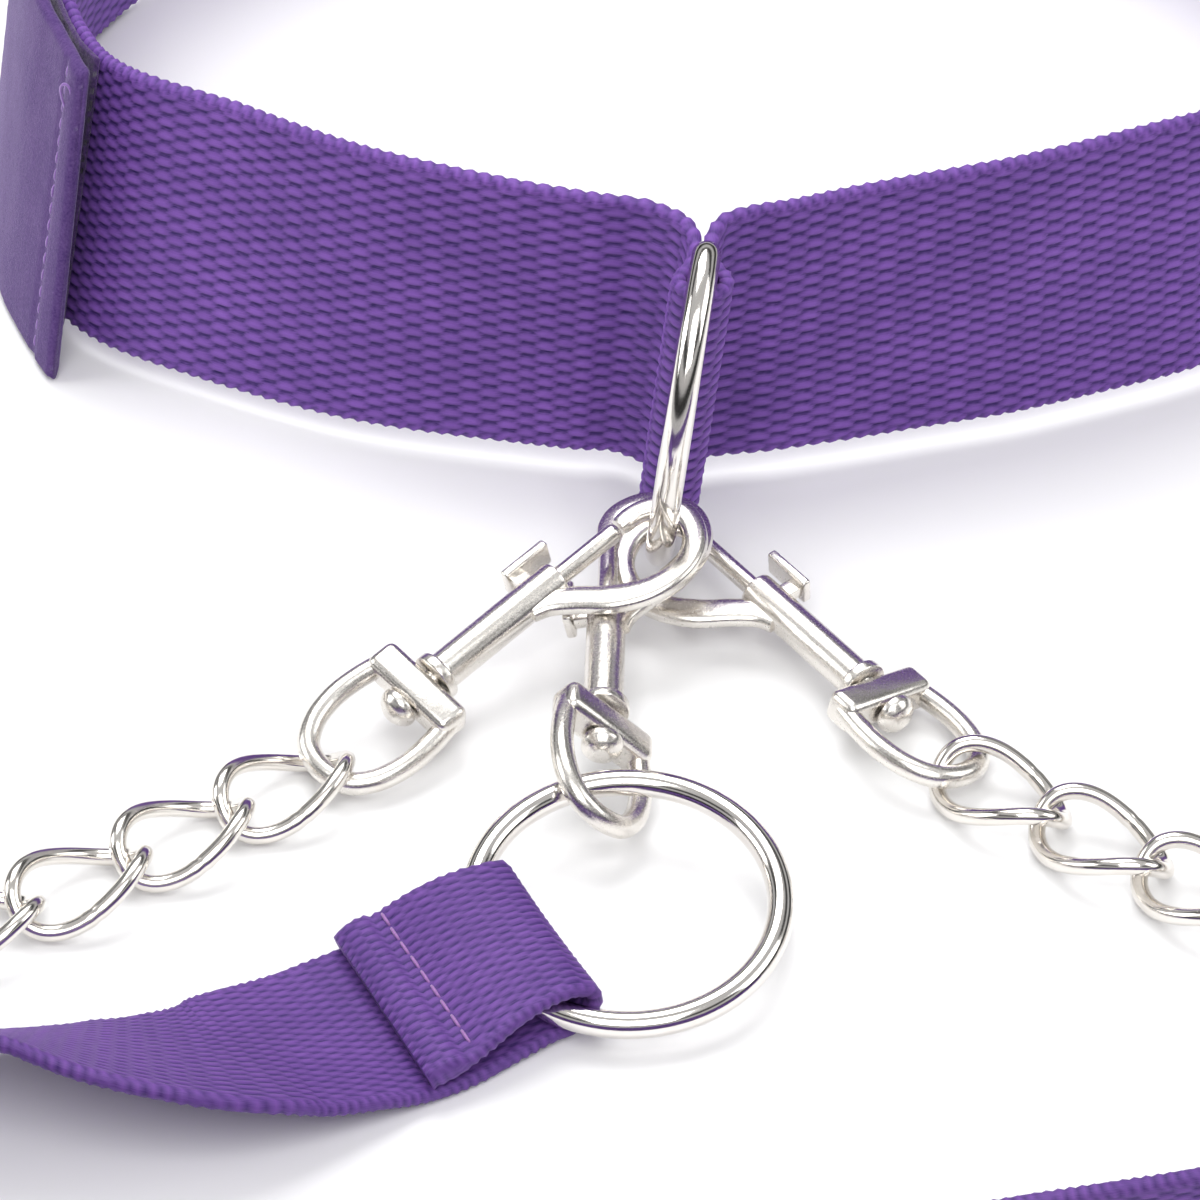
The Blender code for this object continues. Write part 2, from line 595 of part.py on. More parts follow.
# ---- chains --------------------------------------------------------------------------------------------------------------
def link_mesh():
    """One twisted oval link, long axis X, centred; its ends are turned by half the twist each way."""
    a = (LINK_IN + 2 * LINK_WIRE) / 2.0
    n = 18
    P = []
    for k in range(n):
        t = 2 * pi * k / n
        e = 0.86
        x = a * math.copysign(abs(cos(t)) ** e, cos(t))
        y = LINK_HALF_W * math.copysign(abs(sin(t)) ** e, sin(t))
        r = radians(LINK_TWIST / 2) * x / a
        P.append(Vector((x, y * cos(r), y * sin(r))))
    return tube(P, LINK_WIRE, 6, closed=True)
LINK = link_mesh()
CHAIN_Z = 3.7
END_LIFT = 1.15            # how far the last link rises to the eye of the end snap

def chain(tag, start, headings):
    """Links named from the snap outwards; the first two links come down to the table from the snap's eye."""
    p = Vector(start)
    joints = []
    for i, h in enumerate(headings):
        d = Vector((cos(radians(h)), sin(radians(h)), 0))
        q = p + d * LINK_PITCH
        left = len(headings) - 1 - i
        q.z = CHAIN_Z + (start.z - CHAIN_Z) * (0.35 if i == 0 else 0.0) + END_LIFT * (1.0, 0.3, 0.0)[min(left, 2)]
        q = p + (q - p).normalized() * LINK_PITCH
        M = frame((p + q) / 2, q - p, Vector((-d.y, d.x, 0)))
        finish("chain_%s_link_%d" % (tag, i + 1), moved(LINK, M, "l"), "nickel", origin=p)
        joints.append(p.copy())
        p = q
    return joints, p

EYE_U = -42.9                 # the eye's wire at its far end
HALF_GRIP = 1.6               # from the wire of an eye to the joint point between it and a link's wire
ML, MR, MC = (SNAPS[k][0] for k in ("left", "right", "centre"))
LH = [216.0, 216.0, 215.0, 203.0, 188.0, 173.0, 162.0]
RH = [-37.0, -37.0, -35.0, -24.0, -10.0, 2.0, 10.0]
def start_of(M, head, v):
    d = Vector((cos(radians(head)), sin(radians(head)), 0))
    return M @ Vector((EYE_U, v, 0)) - d * HALF_GRIP
LJ, LEND = chain("left", start_of(ML, LH[0], 0.0), LH)
RJ, REND = chain("right", start_of(MR, RH[0], 0.0), RH)

# a further bolt snap on the end of each chain
def end_snap(tag, end, head, side, roll):
    d = Vector((cos(radians(head)), sin(radians(head)), 0))
    o = end + d * (-HALF_GRIP - EYE_U)
    o.z = CHAIN_Z + END_LIFT
    M = frame(o, d, Vector((cos(radians(side)), sin(radians(side)), 0)))
    put_snap(tag, M, roll)
    return M
MEL = end_snap("left_end", LEND, 160.0, 250.0, 24.0)
MER = end_snap("right_end", REND, 8.0, 98.0, 24.0)

# ---- webbing lead ---------------------------------------------------------------------------------------------------------
# stations: centre of the webbing, direction of its width; the first run is the sewn-back layer above the lead
FOLD_A, FOLD_B = oring_point(162), oring_point(260)
FOLD_W = (FOLD_B - FOLD_A).normalized()
FOLD_D = Vector((-FOLD_W.y, FOLD_W.x, 0)).normalized()       # towards the middle of the O-ring
FOLD_C = (FOLD_A + FOLD_B) / 2
SEAM = Vector((-23.7, -73.4, 0))
SEAM_W = Vector((0.456, -0.89, 0))
FOLD_R = 2.0 + LEAD_T / 2
PINCH_IN = 1.9
def toward_seam(f, z):
    """Point a fraction f of the way from the fold to the seam."""
    q = FOLD_C.lerp(SEAM, f)
    q.z = z
    return q, FOLD_W.lerp(SEAM_W, f).normalized()
ST = []
for f, dz in ((1.0, None), (0.78, None), (0.58, None), (0.38, 2.65), (0.22, 2.75), (0.10, FOLD_R)):
    z = {1.0: 3.35, 0.78: 4.6, 0.58: 6.3}.get(f, FOLD_C.z - 0.9 * f + (dz or 0))
    ST.append(toward_seam(f, z))
for k in range(1, 8):
    a = pi / 2 - pi * k / 8
    ST.append((FOLD_C + FOLD_D * (-1.9 + FOLD_R * cos(a)) + Vector((0, 0, FOLD_R * sin(a))), FOLD_W))
for f, z in ((0.10, FOLD_C.z - FOLD_R), (0.28, 2.4), (0.6, 1.9), (1.0, 1.5)):
    ST.append(toward_seam(f, z))
UP = Vector((0, 0, 1))
ZE = LEAD_W / 2 + 0.5
ST += [(Vector((-33.0, -78.8, 3.5)), Vector((0.30, -0.93, 0.17))), (Vector((-42.6, -83.6, 7.0)), Vector((0.067, -0.925, 0.38))),
       (Vector((-53.0, -84.6, 8.9)), Vector((0.10, -0.83, 0.54))), (Vector((-63.6, -84.2, 10.4)), Vector((0.131, -0.72, 0.68))),
       (Vector((-84.0, -85.5, 12.2)), Vector((0.1, -0.35, 0.93)))]
MAINRUN = [(-102, -91), (-114, -97.5), (-119, -109), (-114, -121.5), (-100, -130), (-70, -132.8), (-35, -132), (0, -129.5), (22, -125.2),
           (39, -120.9), (59, -116.8), (80, -111.5), (100, -106), (122, -99.5), (150, -93.5), (180, -92), (203, -98), (212, -111),
           (206, -125), (186, -132), (160, -130), (140, -121)]
ST += [(Vector((x, y, ZE)), UP) for x, y in MAINRUN]

def make_lead():
    C = catmull([p for p, w in ST], 6)
    Wc = []
    for (p, w), (q, v) in zip(ST, ST[1:]):
        for k in range(6):
            f = k / 6
            Wc.append(w.lerp(v, f * f * (3 - 2 * f)).normalized())
    Wc.append(ST[-1][1].copy())
    # even spacing, finer round the O-ring
    L = [0.0]
    for a, b in zip(C, C[1:]):
        L.append(L[-1] + (b - a).length)
    near = 48.0
    marks, s = [], 0.0
    while s < L[-1] - 0.5:
        marks.append(s)
        s += 1.5 if 19.0 < s < 30.0 else (3.4 if s < near else 7.0)
    marks.append(L[-1])
    P, W = [], []
    j = 0
    for s in marks:
        while j < len(L) - 2 and L[j + 1] < s:
            j += 1
        f = (s - L[j]) / max(L[j + 1] - L[j], 1e-9)
        P.append(C[j].lerp(C[j + 1], f))
        W.append(Wc[j].lerp(Wc[j + 1], f).normalized())
    # the handle's end lies flat against the lead and is sewn to it
    near_pts = [i for i, q in enumerate(P) if q.x > 84 and q.x < 116 and q.y > -113 and q.z > 12 and i < len(P) - 8]
    tail = []
    for i in reversed(near_pts):
        t = (P[i + 1] - P[i - 1]).normalized()
        tail.append(P[i] + Vector((t.y, -t.x, 0)) * (LEAD_T + GAP + 0.05))
    join = catmull([P[-2], P[-1], Vector((126.5, -110.8, ZE)), tail[0], tail[1]], 3)[3:-3]
    P = P[:-1] + join[1:] + tail[1:]
    W = W[:len(W) - 1] + [UP] * (len(P) - len(W) + 1)
    T = tangents(P, False)
    N, WW = [], []
    for t, w in zip(T, W):
        w = (w - t * w.dot(t)).normalized()
        WW.append(w)
        N.append(w.cross(t).normalized())
    def half(i):
        """Half width: the webbing draws in where it is pinched round the O-ring."""
        d = ((P[i] - FOLD_C).length if i < 40 else 99.0)
        return LEAD_W / 2 - PINCH_IN * max(0.0, 1.0 - max(0.0, d - 4.0) / 11.0)
    finish("lead_strap", strip(P, WW, N, half, -LEAD_T / 2, LEAD_T / 2, 0.35), "lead",
           origin=oring_point(211))
    return P

LEADP = make_lead()
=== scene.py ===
# Webbing training collar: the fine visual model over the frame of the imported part.
# Lengths are in millimetres of the building frame; SHIFT carries them to the row frame.
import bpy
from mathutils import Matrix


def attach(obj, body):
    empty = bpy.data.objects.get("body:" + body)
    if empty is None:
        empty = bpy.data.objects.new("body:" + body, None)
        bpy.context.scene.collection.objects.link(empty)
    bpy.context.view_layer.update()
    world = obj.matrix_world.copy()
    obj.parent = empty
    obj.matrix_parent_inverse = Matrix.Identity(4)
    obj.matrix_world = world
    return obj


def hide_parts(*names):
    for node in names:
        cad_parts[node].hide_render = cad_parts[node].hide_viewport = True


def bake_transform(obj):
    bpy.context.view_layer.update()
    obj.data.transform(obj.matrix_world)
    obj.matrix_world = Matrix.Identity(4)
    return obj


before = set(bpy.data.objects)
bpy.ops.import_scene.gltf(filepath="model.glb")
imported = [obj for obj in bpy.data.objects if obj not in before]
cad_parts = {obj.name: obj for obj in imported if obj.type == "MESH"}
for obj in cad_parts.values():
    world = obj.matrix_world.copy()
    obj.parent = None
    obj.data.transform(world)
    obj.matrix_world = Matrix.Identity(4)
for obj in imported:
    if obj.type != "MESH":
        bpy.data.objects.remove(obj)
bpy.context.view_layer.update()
import bpy
import bmesh
import math
from math import sin, cos, pi, radians, sqrt
from mathutils import Vector, Matrix

HOOK_SWELL = 0.6
KEY_POWER = 8.6
FRONT_POWER = 8.4
SIDE_POWER = 2.8
WORLD_STRENGTH = 0.55

MM = 0.001
SHIFT = Vector((-0.0051159, -0.0485432, -0.0002064))      # moves the whole part so that the row's origin is under its middle

# ---- driving dimensions ------------------------------------------------------------------------------------------
BAND_H = 38.0            # neck webbing width
BAND_T = 1.6             # neck webbing thickness
BAND_Z_FRONT = 3.5       # lower edge above the table at the D-ring
BAND_Z_BACK = 0.3        # lower edge above the table at the back
LEAD_W = 25.0            # lead webbing width
LEAD_T = 1.7             # lead webbing thickness
FLAP_H = 43.0            # closure flap height
FLAP_T = 1.9
PAD_T = 0.9              # hook strip and loop strip
DR_A = 21.2              # D-ring: half length of its centreline, along the bar
DR_B = 18.2              # D-ring: depth of the bow's centreline
DR_R = 1.75              # D-ring wire radius
DR_LEAN = 6.3            # sideways lean of the bar, degrees
OR_R = 17.15             # O-ring centreline radius
OR_WIRE = 1.6            # O-ring wire radius
LINK_IN = 14.1           # chain link inside length
LINK_PITCH = 13.7
LINK_WIRE = 1.05         # chain wire radius
LINK_HALF_W = 5.2        # centreline half width
LINK_TWIST = -84.0        # degrees, end to end
# bolt snap, along its own axis u (0 is the middle of the gate, + towards the hook's end)
SN_BARREL_R = 2.35
SN_BORE_R = 1.35
SN_BOLT_R = 1.2
SN_GATE = 5.2
SN_BARREL_END = -24.0
SN_FLANGE_R = 3.1
SN_FLANGE_END = -25.4
SN_POST_R = 1.3
SN_YOKE = (-25.7, -30.1)
SN_YOKE_W = 6.7          # half width of the yoke bar
SN_YOKE_HOLE = 1.4
SN_HEAD = (-30.4, -32.6)
SN_EYE_FAR = -44.4
SN_EYE_WIRE = 1.45
SN_HOOK_H = 1.05         # half thickness of the flattened hook
SN_TRAVEL = 6.0


# ---- mesh helpers

def mesh_from(verts, faces, name="m"):
    me = bpy.data.meshes.new(name)
    me.from_pydata([tuple(v) for v in verts], [], faces)
    me.validate()
    return me

def catmull(pts, n, closed=False):
    """n samples per span through the given points."""
    P = [Vector(p) for p in pts]
    out = []
    m = len(P)
    spans = m if closed else m - 1
    for i in range(spans):
        if closed:
            a, b, c, d = P[(i - 1) % m], P[i], P[(i + 1) % m], P[(i + 2) % m]
        else:
            a, b, c, d = P[max(i - 1, 0)], P[i], P[i + 1], P[min(i + 2, m - 1)]
        # centripetal parametrisation
        t0 = 0.0
        t1 = t0 + max((b - a).length, 1e-6) ** 0.5
        t2 = t1 + max((c - b).length, 1e-6) ** 0.5
        t3 = t2 + max((d - c).length, 1e-6) ** 0.5
        if (b - a).length < 1e-6:
            a = b - (c - b)
            t1 = t0 + (b - a).length ** 0.5
            t2 = t1 + (c - b).length ** 0.5
            t3 = t2 + max((d - c).length, 1e-6) ** 0.5
        if (d - c).length < 1e-6:
            d = c + (c - b)
            t3 = t2 + (d - c).length ** 0.5
        for k in range(n):
            t = t1 + (t2 - t1) * k / n
            A1 = a * ((t1 - t) / (t1 - t0)) + b * ((t - t0) / (t1 - t0))
            A2 = b * ((t2 - t) / (t2 - t1)) + c * ((t - t1) / (t2 - t1))
            A3 = c * ((t3 - t) / (t3 - t2)) + d * ((t - t2) / (t3 - t2))
            B1 = A1 * ((t2 - t) / (t2 - t0)) + A2 * ((t - t0) / (t2 - t0))
            B2 = A2 * ((t3 - t) / (t3 - t1)) + A3 * ((t - t1) / (t3 - t1))
            out.append(B1 * ((t2 - t) / (t2 - t1)) + B2 * ((t - t1) / (t2 - t1)))
    if not closed:
        out.append(P[-1].copy())
    return out

def resample(pts, step, closed=False):
    P = [Vector(p) for p in pts] + ([Vector(pts[0])] if closed else [])
    L = [0.0]
    for a, b in zip(P, P[1:]):
        L.append(L[-1] + (b - a).length)
    n = max(2, int(round(L[-1] / step)))
    out, j = [], 0
    for k in range(n + (0 if closed else 1)):
        s = L[-1] * k / n
        while j < len(L) - 2 and L[j + 1] < s:
            j += 1
        f = (s - L[j]) / max(L[j + 1] - L[j], 1e-9)
        out.append(P[j].lerp(P[j + 1], min(max(f, 0), 1)))
    return out

def tangents(P, closed):
    n = len(P)
    T = []
    for i in range(n):
        a = P[(i - 1) % n] if closed else P[max(i - 1, 0)]
        b = P[(i + 1) % n] if closed else P[min(i + 1, n - 1)]
        T.append((b - a).normalized())
    return T

def sweep(P, sides, section, closed, up0, ups=None):
    """Tube along P. section(i, n) gives (half width along the frame's side axis, half height along its up axis)."""
    n = len(P)
    T = tangents(P, closed)
    U = []
    if ups is not None:
        for t, u in zip(T, ups):
            u = Vector(u)
            U.append((u - t * u.dot(t)).normalized())
    else:
        u = Vector(up0)
        u = (u - T[0] * u.dot(T[0])).normalized()
        U.append(u)
        for i in range(1, n):
            u = U[-1] - T[i] * U[-1].dot(T[i])
            U.append(u.normalized())
        if closed:       # spread the closing twist
            u = U[-1] - T[0] * U[-1].dot(T[0])
            u.normalize()
            s = T[0].cross(U[0])
            ang = math.atan2(u.dot(s), u.dot(U[0]))
            for i in range(n):
                a = -ang * i / n
                q = Matrix.Rotation(a, 3, T[i])
                U[i] = (q @ U[i]).normalized()
    verts, faces = [], []
    for i in range(n):
        S = U[i].cross(T[i]).normalized()
        w, h = section(i, n)
        for k in range(sides):
            a = 2 * pi * (k + 0.5) / sides
            verts.append(P[i] + S * (w * cos(a)) + U[i] * (h * sin(a)))
    m = n if closed else n - 1
    for i in range(m):
        j = (i + 1) % n
        for k in range(sides):
            l = (k + 1) % sides
            faces.append((i * sides + k, i * sides + l, j * sides + l, j * sides + k))
    if not closed:
        faces.append(tuple(range(sides - 1, -1, -1)))
        faces.append(tuple((n - 1) * sides + k for k in range(sides)))
    return mesh_from(verts, faces)

def tube(P, r, sides, closed=False, up0=(0, 0, 1)):
    return sweep(P, sides, lambda i, n: (r, r), closed, up0)

def strip(P, W, N, half_w, n_lo, n_hi, chamfer=0.35):
    """Closed flat strip: P centreline, W unit width vectors, N unit thickness vectors; spans n_lo..n_hi along N."""
    verts, faces = [], []
    prof = None
    for i, (p, w, nn) in enumerate(zip(P, W, N)):
        hw = half_w(i) if callable(half_w) else half_w
        lo = n_lo(i) if callable(n_lo) else n_lo
        hi = n_hi(i) if callable(n_hi) else n_hi
        c = chamfer
        prof = [(-hw + c, lo), (hw - c, lo), (hw, lo + c), (hw, hi - c), (hw - c, hi), (-hw + c, hi), (-hw, hi - c), (-hw, lo + c)]
        for a, b in prof:
            verts.append(p + w * a + nn * b)
    k = len(prof)
    n = len(P)
    for i in range(n - 1):
        for a in range(k):
            b = (a + 1) % k
            faces.append((i * k + a, i * k + b, (i + 1) * k + b, (i + 1) * k + a))
    faces.append(tuple(range(k - 1, -1, -1)))
    faces.append(tuple((n - 1) * k + a for a in range(k)))
    return mesh_from(verts, faces)

def cylinder(u0, u1, r0, r1, sides, phase=0.5):
    """Along local u (X)."""
    verts, faces = [], []
    for u, r in ((u0, r0), (u1, r1)):
        for k in range(sides):
            a = 2 * pi * (k + phase) / sides
            verts.append(Vector((u, r * cos(a), r * sin(a))))
    for k in range(sides):
        l = (k + 1) % sides
        faces.append((k, l, sides + l, sides + k))
    faces.append(tuple(range(sides - 1, -1, -1)))
    faces.append(tuple(sides + k for k in range(sides)))
    return mesh_from(verts, faces)

def lathe(prof, sides, phase=0.5):
    """Closed solid of revolution about u from (u, r) rows; the first and last rows are flat ends."""
    verts, faces = [], []
    for u, r in prof:
        for k in range(sides):
            a = 2 * pi * (k + phase) / sides
            verts.append(Vector((u, r * cos(a), r * sin(a))))
    for i in range(len(prof) - 1):
        for k in range(sides):
            l = (k + 1) % sides
            faces.append((i * sides + k, i * sides + l, (i + 1) * sides + l, (i + 1) * sides + k))
    faces.append(tuple(range(sides - 1, -1, -1)))
    n = len(prof) - 1
    faces.append(tuple(n * sides + k for k in range(sides)))
    return mesh_from(verts, faces)

def box(lo, hi):
    (x0, y0, z0), (x1, y1, z1) = lo, hi
    v = [(x0, y0, z0), (x1, y0, z0), (x1, y1, z0), (x0, y1, z0), (x0, y0, z1), (x1, y0, z1), (x1, y1, z1), (x0, y1, z1)]
    f = [(0, 3, 2, 1), (4, 5, 6, 7), (0, 1, 5, 4), (1, 2, 6, 5), (2, 3, 7, 6), (3, 0, 4, 7)]
    return mesh_from(v, f)

def fix_normals(me):
    bm = bmesh.new()
    bm.from_mesh(me)
    bmesh.ops.recalc_face_normals(bm, faces=bm.faces)
    bm.to_mesh(me)
    bm.free()

def boolean(base, others):
    """base mesh, then (operation, mesh) in order; returns a new mesh."""
    fix_normals(base)
    ob = bpy.data.objects.new("tmp_base", base)
    bpy.context.scene.collection.objects.link(ob)
    helpers = []
    for op, me in others:
        fix_normals(me)
        h = bpy.data.objects.new("tmp_cut", me)
        bpy.context.scene.collection.objects.link(h)
        h.hide_render = True
        h.display_type = 'WIRE'
        helpers.append(h)
        md = ob.modifiers.new("b", 'BOOLEAN')
        md.operation = op
        md.solver = 'EXACT'
        md.object = h
    dg = bpy.context.evaluated_depsgraph_get()
    dg.update()
    out = bpy.data.meshes.new_from_object(ob.evaluated_get(dg))
    bpy.data.objects.remove(ob, do_unlink=True)
    for h in helpers:
        bpy.data.objects.remove(h, do_unlink=True)
    bm = bmesh.new()
    bm.from_mesh(out)
    bmesh.ops.remove_doubles(bm, verts=bm.verts, dist=0.004)
    bmesh.ops.dissolve_degenerate(bm, edges=bm.edges, dist=0.004)
    bm.to_mesh(out)
    bm.free()
    return out


HOOK_PATH = [(-10.5, 1.2), (-8.2, 1.9), (-5.7, 3.9), (-3.2, 7.2), (0.4, 9.8), (4.6, 10.9), (8.4, 9.8), (10.8, 7.1), (11.6, 4.0),
             (10.4, 1.2), (8.0, -0.1), (SN_GATE + 0.15, -0.15)]


def frame_at(origin, axis, side):
    """Matrix with local X along axis, local Y near side."""
    X = Vector(axis).normalized()
    Y = Vector(side)
    Y = (Y - X * Y.dot(X)).normalized()
    Z = X.cross(Y)
    M = Matrix((X, Y, Z)).transposed().to_4x4()
    M.translation = Vector(origin)
    return M


DR_C = Vector((10.4, 12.5, DR_A * cos(radians(DR_LEAN)) + DR_R + 0.15))
DR_U = Vector((sin(radians(DR_LEAN)), 0, cos(radians(DR_LEAN))))
DR_F = Vector((-0.12, -0.993, 0.0))
DR_F = (DR_F - DR_U * DR_F.dot(DR_U)).normalized()

def dring_point(phi):
    """Bow centreline; phi 0 is furthest forward, +90 is the lower end."""
    p = radians(phi)
    return DR_C + DR_F * (DR_B * cos(p)) - DR_U * (DR_A * sin(p))


def dring_loop():
    rc = 3.6
    pts = []
    for k in range(0, 21):
        phi = -78 + 156 * k / 20
        pts.append(dring_point(phi))
    low = [DR_C + DR_F * 1.1 - DR_U * (DR_A - 0.35), DR_C - DR_U * (DR_A - 1.6), DR_C - DR_U * (DR_A - rc)]
    bar = [DR_C - DR_U * 8, DR_C + DR_U * 0, DR_C + DR_U * 8]
    high = [DR_C + DR_U * (DR_A - rc), DR_C + DR_U * (DR_A - 1.6), DR_C + DR_F * 1.1 + DR_U * (DR_A - 0.35)]
    P = catmull(pts + low + bar + high, 1, closed=True)
    return P


# outer face of the loop at its lower edge, from the right side of the tab round to the closure, in plan
RIGHT = [(16.6, 23.5), (20.5, 24.1), (31.6, 27.0), (43.1, 30.1), (50.9, 32.1), (64.0, 36.9), (77.4, 42.6), (90.5, 51.5), (100.0, 65.0),
         (104.0, 82.0), (103.5, 102.0), (98.5, 123.0), (87.5, 143.0), (69.0, 160.0), (43.0, 171.0), (14.0, 174.5),
         (-14.0, 171.0), (-38.0, 161.5), (-56.5, 147.0), (-68.5, 131.5), (-75.4, 117.0), (-78.0, 107.0)]
LEFT = [(4.0, 24.2), (0.0, 24.6), (-12.6, 26.6), (-31.8, 31.1), (-51.4, 39.8), (-66.5, 49.0), (-73.2, 58.5), (-76.6, 70.0),
        (-78.4, 83.0), (-78.9, 95.0), (-78.3, 105.2)]
# the loop's middle, the x of the pinch at the tab and the y of the D-ring bar, in plan; lean_in sets how far the top
# edge leans in by place round the loop
LOOP_MID = Vector((12.0, 98.0, 0.0))
PINCH_X = 10.6
BAR_Y = DR_C.y

def z_low(y):
    f = min(max((y - 22.0) / 150.0, 0.0), 1.0)
    return BAND_Z_FRONT + (BAND_Z_BACK - BAND_Z_FRONT) * f

def lean_in(p):
    """Inward lean of the top edge, mm, by place round the loop."""
    x, y = p.x, p.y
    near = min(1.0, max(0.0, abs(x - PINCH_X) - 5.0) / 55.0)
    if y < 60:
        return (8.4 if x < PINCH_X else 2.7) * near ** 0.9
    if x < -50:
        return 8.4 - 4.4 * min(1.0, (y - 60) / 70.0)
    return 2.7

def lean_x(p):
    """Sideways lean of the pinch and tab with the D-ring bar."""
    d = math.hypot(p.x - PINCH_X, max(0.0, p.y - 24.0))
    return math.tan(radians(DR_LEAN)) * max(0.0, 1.0 - max(0.0, d - 5.0) / 16.0)

def band_frames(P2, lift=0.0):
    """Centre points, tangents and outward normals for a plan path (outer face at the lower edge)."""
    P = [Vector((p[0], p[1], 0)) for p in P2]
    T = tangents(P, False)
    C, W, N = [], [], []
    for p, t in zip(P, T):
        nrm = Vector((t.y, -t.x, 0)).normalized()      # right of travel
        C.append(p)
        N.append(nrm)
    return C, T, N

tab_half = DR_R + 0.3            # inside radius of the fold round the bar
TAB_PINCH = 1.7                  # how far each edge of the webbing draws in where it folds round the bar
def band_path():
    """Whole band as one plan path: closure end, left half, out along the tab, round the bar, back, right half."""
    h = BAND_T
    xl, xr = DR_C.x - tab_half, DR_C.x + tab_half
    left = [Vector((x, y, 0)) for x, y in reversed(LEFT)]
    # the tab: the inside face of the fold is tab_half from the bar's axis; the two layers close up behind the bar
    g = 0.16
    lt = [Vector((6.9, 22.4, 0)), Vector((DR_C.x - g - h, 19.0, 0)), Vector((DR_C.x - g - h, 16.6, 0)), Vector((DR_C.x - tab_half - h + 0.5, 14.1, 0))]
    arc = []
    for k in range(9):
        a = pi + pi * k / 8
        arc.append(Vector((DR_C.x + (tab_half + h) * cos(a), DR_C.y + (tab_half + h) * sin(a), 0)))
    rt = [Vector((2 * DR_C.x - v.x, v.y, 0)) for v in reversed(lt)]
    right = [Vector((x, y, 0)) for x, y in RIGHT]
    left_s = resample(catmull(left, 6), 6.0)
    right_s = resample(catmull(right, 6), 6.0)
    mid = catmull([left[-1]] + lt + arc + rt + [right[0]], 2)
    return left_s[:-1] + mid + right_s[1:]


PAD_PATH = [(-78.4, 103.0), (-78.9, 95.0), (-78.4, 83.0), (-76.6, 70.0), (-73.2, 58.5), (-69.6, 52.6)]

GAP = 0.3

FLAP_PIVOT = Vector((-79.4, 112.0, 0.0))

FLAP_PATH = [(-76.9, 111.8), (-78.0, 107.0), (-78.9, 95.0), (-78.4, 83.0), (-76.6, 70.0), (-73.2, 58.5), (-69.2, 51.9), (-65.8, 48.3)]

def snap_matrix(W, uv, plan_deg, slope_deg, side_plan_deg, side_drop_deg):
    """W is the point held at local (u, v, 0); plan_deg is the direction from the swivel towards the hook's end."""
    a, b = radians(plan_deg), radians(slope_deg)
    X = Vector((cos(a) * cos(b), sin(a) * cos(b), sin(b)))
    c, d = radians(side_plan_deg), radians(side_drop_deg)
    Y = Vector((cos(c) * cos(d), sin(c) * cos(d), -sin(d)))
    M = frame_at((0, 0, 0), X, Y)
    off = M.to_3x3() @ Vector((uv[0], uv[1], 0))
    M.translation = Vector(W) - off
    return M

def at_height(z):
    """Bow centreline point at height z, on the bow's lower half."""
    f = (DR_C.z - z) / (DR_A * DR_U.z)
    return dring_point(math.degrees(math.asin(min(1.0, f))))

WPT = {"left": at_height(13.53), "right": at_height(6.44), "centre": at_height(9.32)}      # where the D-ring wire runs through each hook
SNAPS = {
    "left": (snap_matrix(WPT["left"], (7.94, 4.79), 43.07, 11.50, -46.93, -2.80), 18.0),
    "right": (snap_matrix(WPT["right"], (7.30, 4.92), 128.14, 4.20, 218.14, 7.24), 20.0),
    "centre": (snap_matrix(WPT["centre"], (2.93, 6.40), 88.70, 0.40, -1.30, -12.61), 57.0),
}

OR_C = Vector((3.03, -58.8, 6.15))
OR_TILT = 7.5
def oring_point(deg, r=None):
    a, t = radians(deg), radians(OR_TILT)
    r = OR_R if r is None else r
    return OR_C + Vector((r * cos(a), r * sin(a) * cos(t), r * sin(a) * sin(t)))

CHAIN_Z = 3.7
END_LIFT = 1.15            # how far the last link rises to the eye of the end snap


def chain(tag, start, headings):
    """Links named from the snap outwards; the first two links come down to the table from the snap's eye."""
    p = Vector(start)
    joints, mats = [], []
    for i, h in enumerate(headings):
        d = Vector((cos(radians(h)), sin(radians(h)), 0))
        q = p + d * LINK_PITCH
        left = len(headings) - 1 - i
        q.z = CHAIN_Z + (start.z - CHAIN_Z) * (0.35 if i == 0 else 0.0) + END_LIFT * (1.0, 0.3, 0.0)[min(left, 2)]
        q = p + (q - p).normalized() * LINK_PITCH
        M = frame_at((p + q) / 2, q - p, Vector((-d.y, d.x, 0)))
        mats.append(M)
        joints.append(p.copy())
        p = q
    return joints, p, mats


EYE_U = -42.9                 # the eye's wire at its far end
HALF_GRIP = 1.6               # from the wire of an eye to the joint point between it and a link's wire
ML, MR, MC = (SNAPS[k][0] for k in ("left", "right", "centre"))
LH = [216.0, 216.0, 215.0, 203.0, 188.0, 173.0, 162.0]
RH = [-37.0, -37.0, -35.0, -24.0, -10.0, 2.0, 10.0]
def start_of(M, head, v):
    d = Vector((cos(radians(head)), sin(radians(head)), 0))
    return M @ Vector((EYE_U, v, 0)) - d * HALF_GRIP
LJ, LEND, LM = chain("left", start_of(ML, LH[0], 0.0), LH)
RJ, REND, RM = chain("right", start_of(MR, RH[0], 0.0), RH)


def end_snap(tag, end, head, side, roll):
    d = Vector((cos(radians(head)), sin(radians(head)), 0))
    o = end + d * (-HALF_GRIP - EYE_U)
    o.z = CHAIN_Z + END_LIFT
    M = frame_at(o, d, Vector((cos(radians(side)), sin(radians(side)), 0)))
    return M
MEL = end_snap("left_end", LEND, 160.0, 250.0, 24.0)
MER = end_snap("right_end", REND, 8.0, 98.0, 24.0)


MEL_ROLL, MER_ROLL = 24.0, 24.0

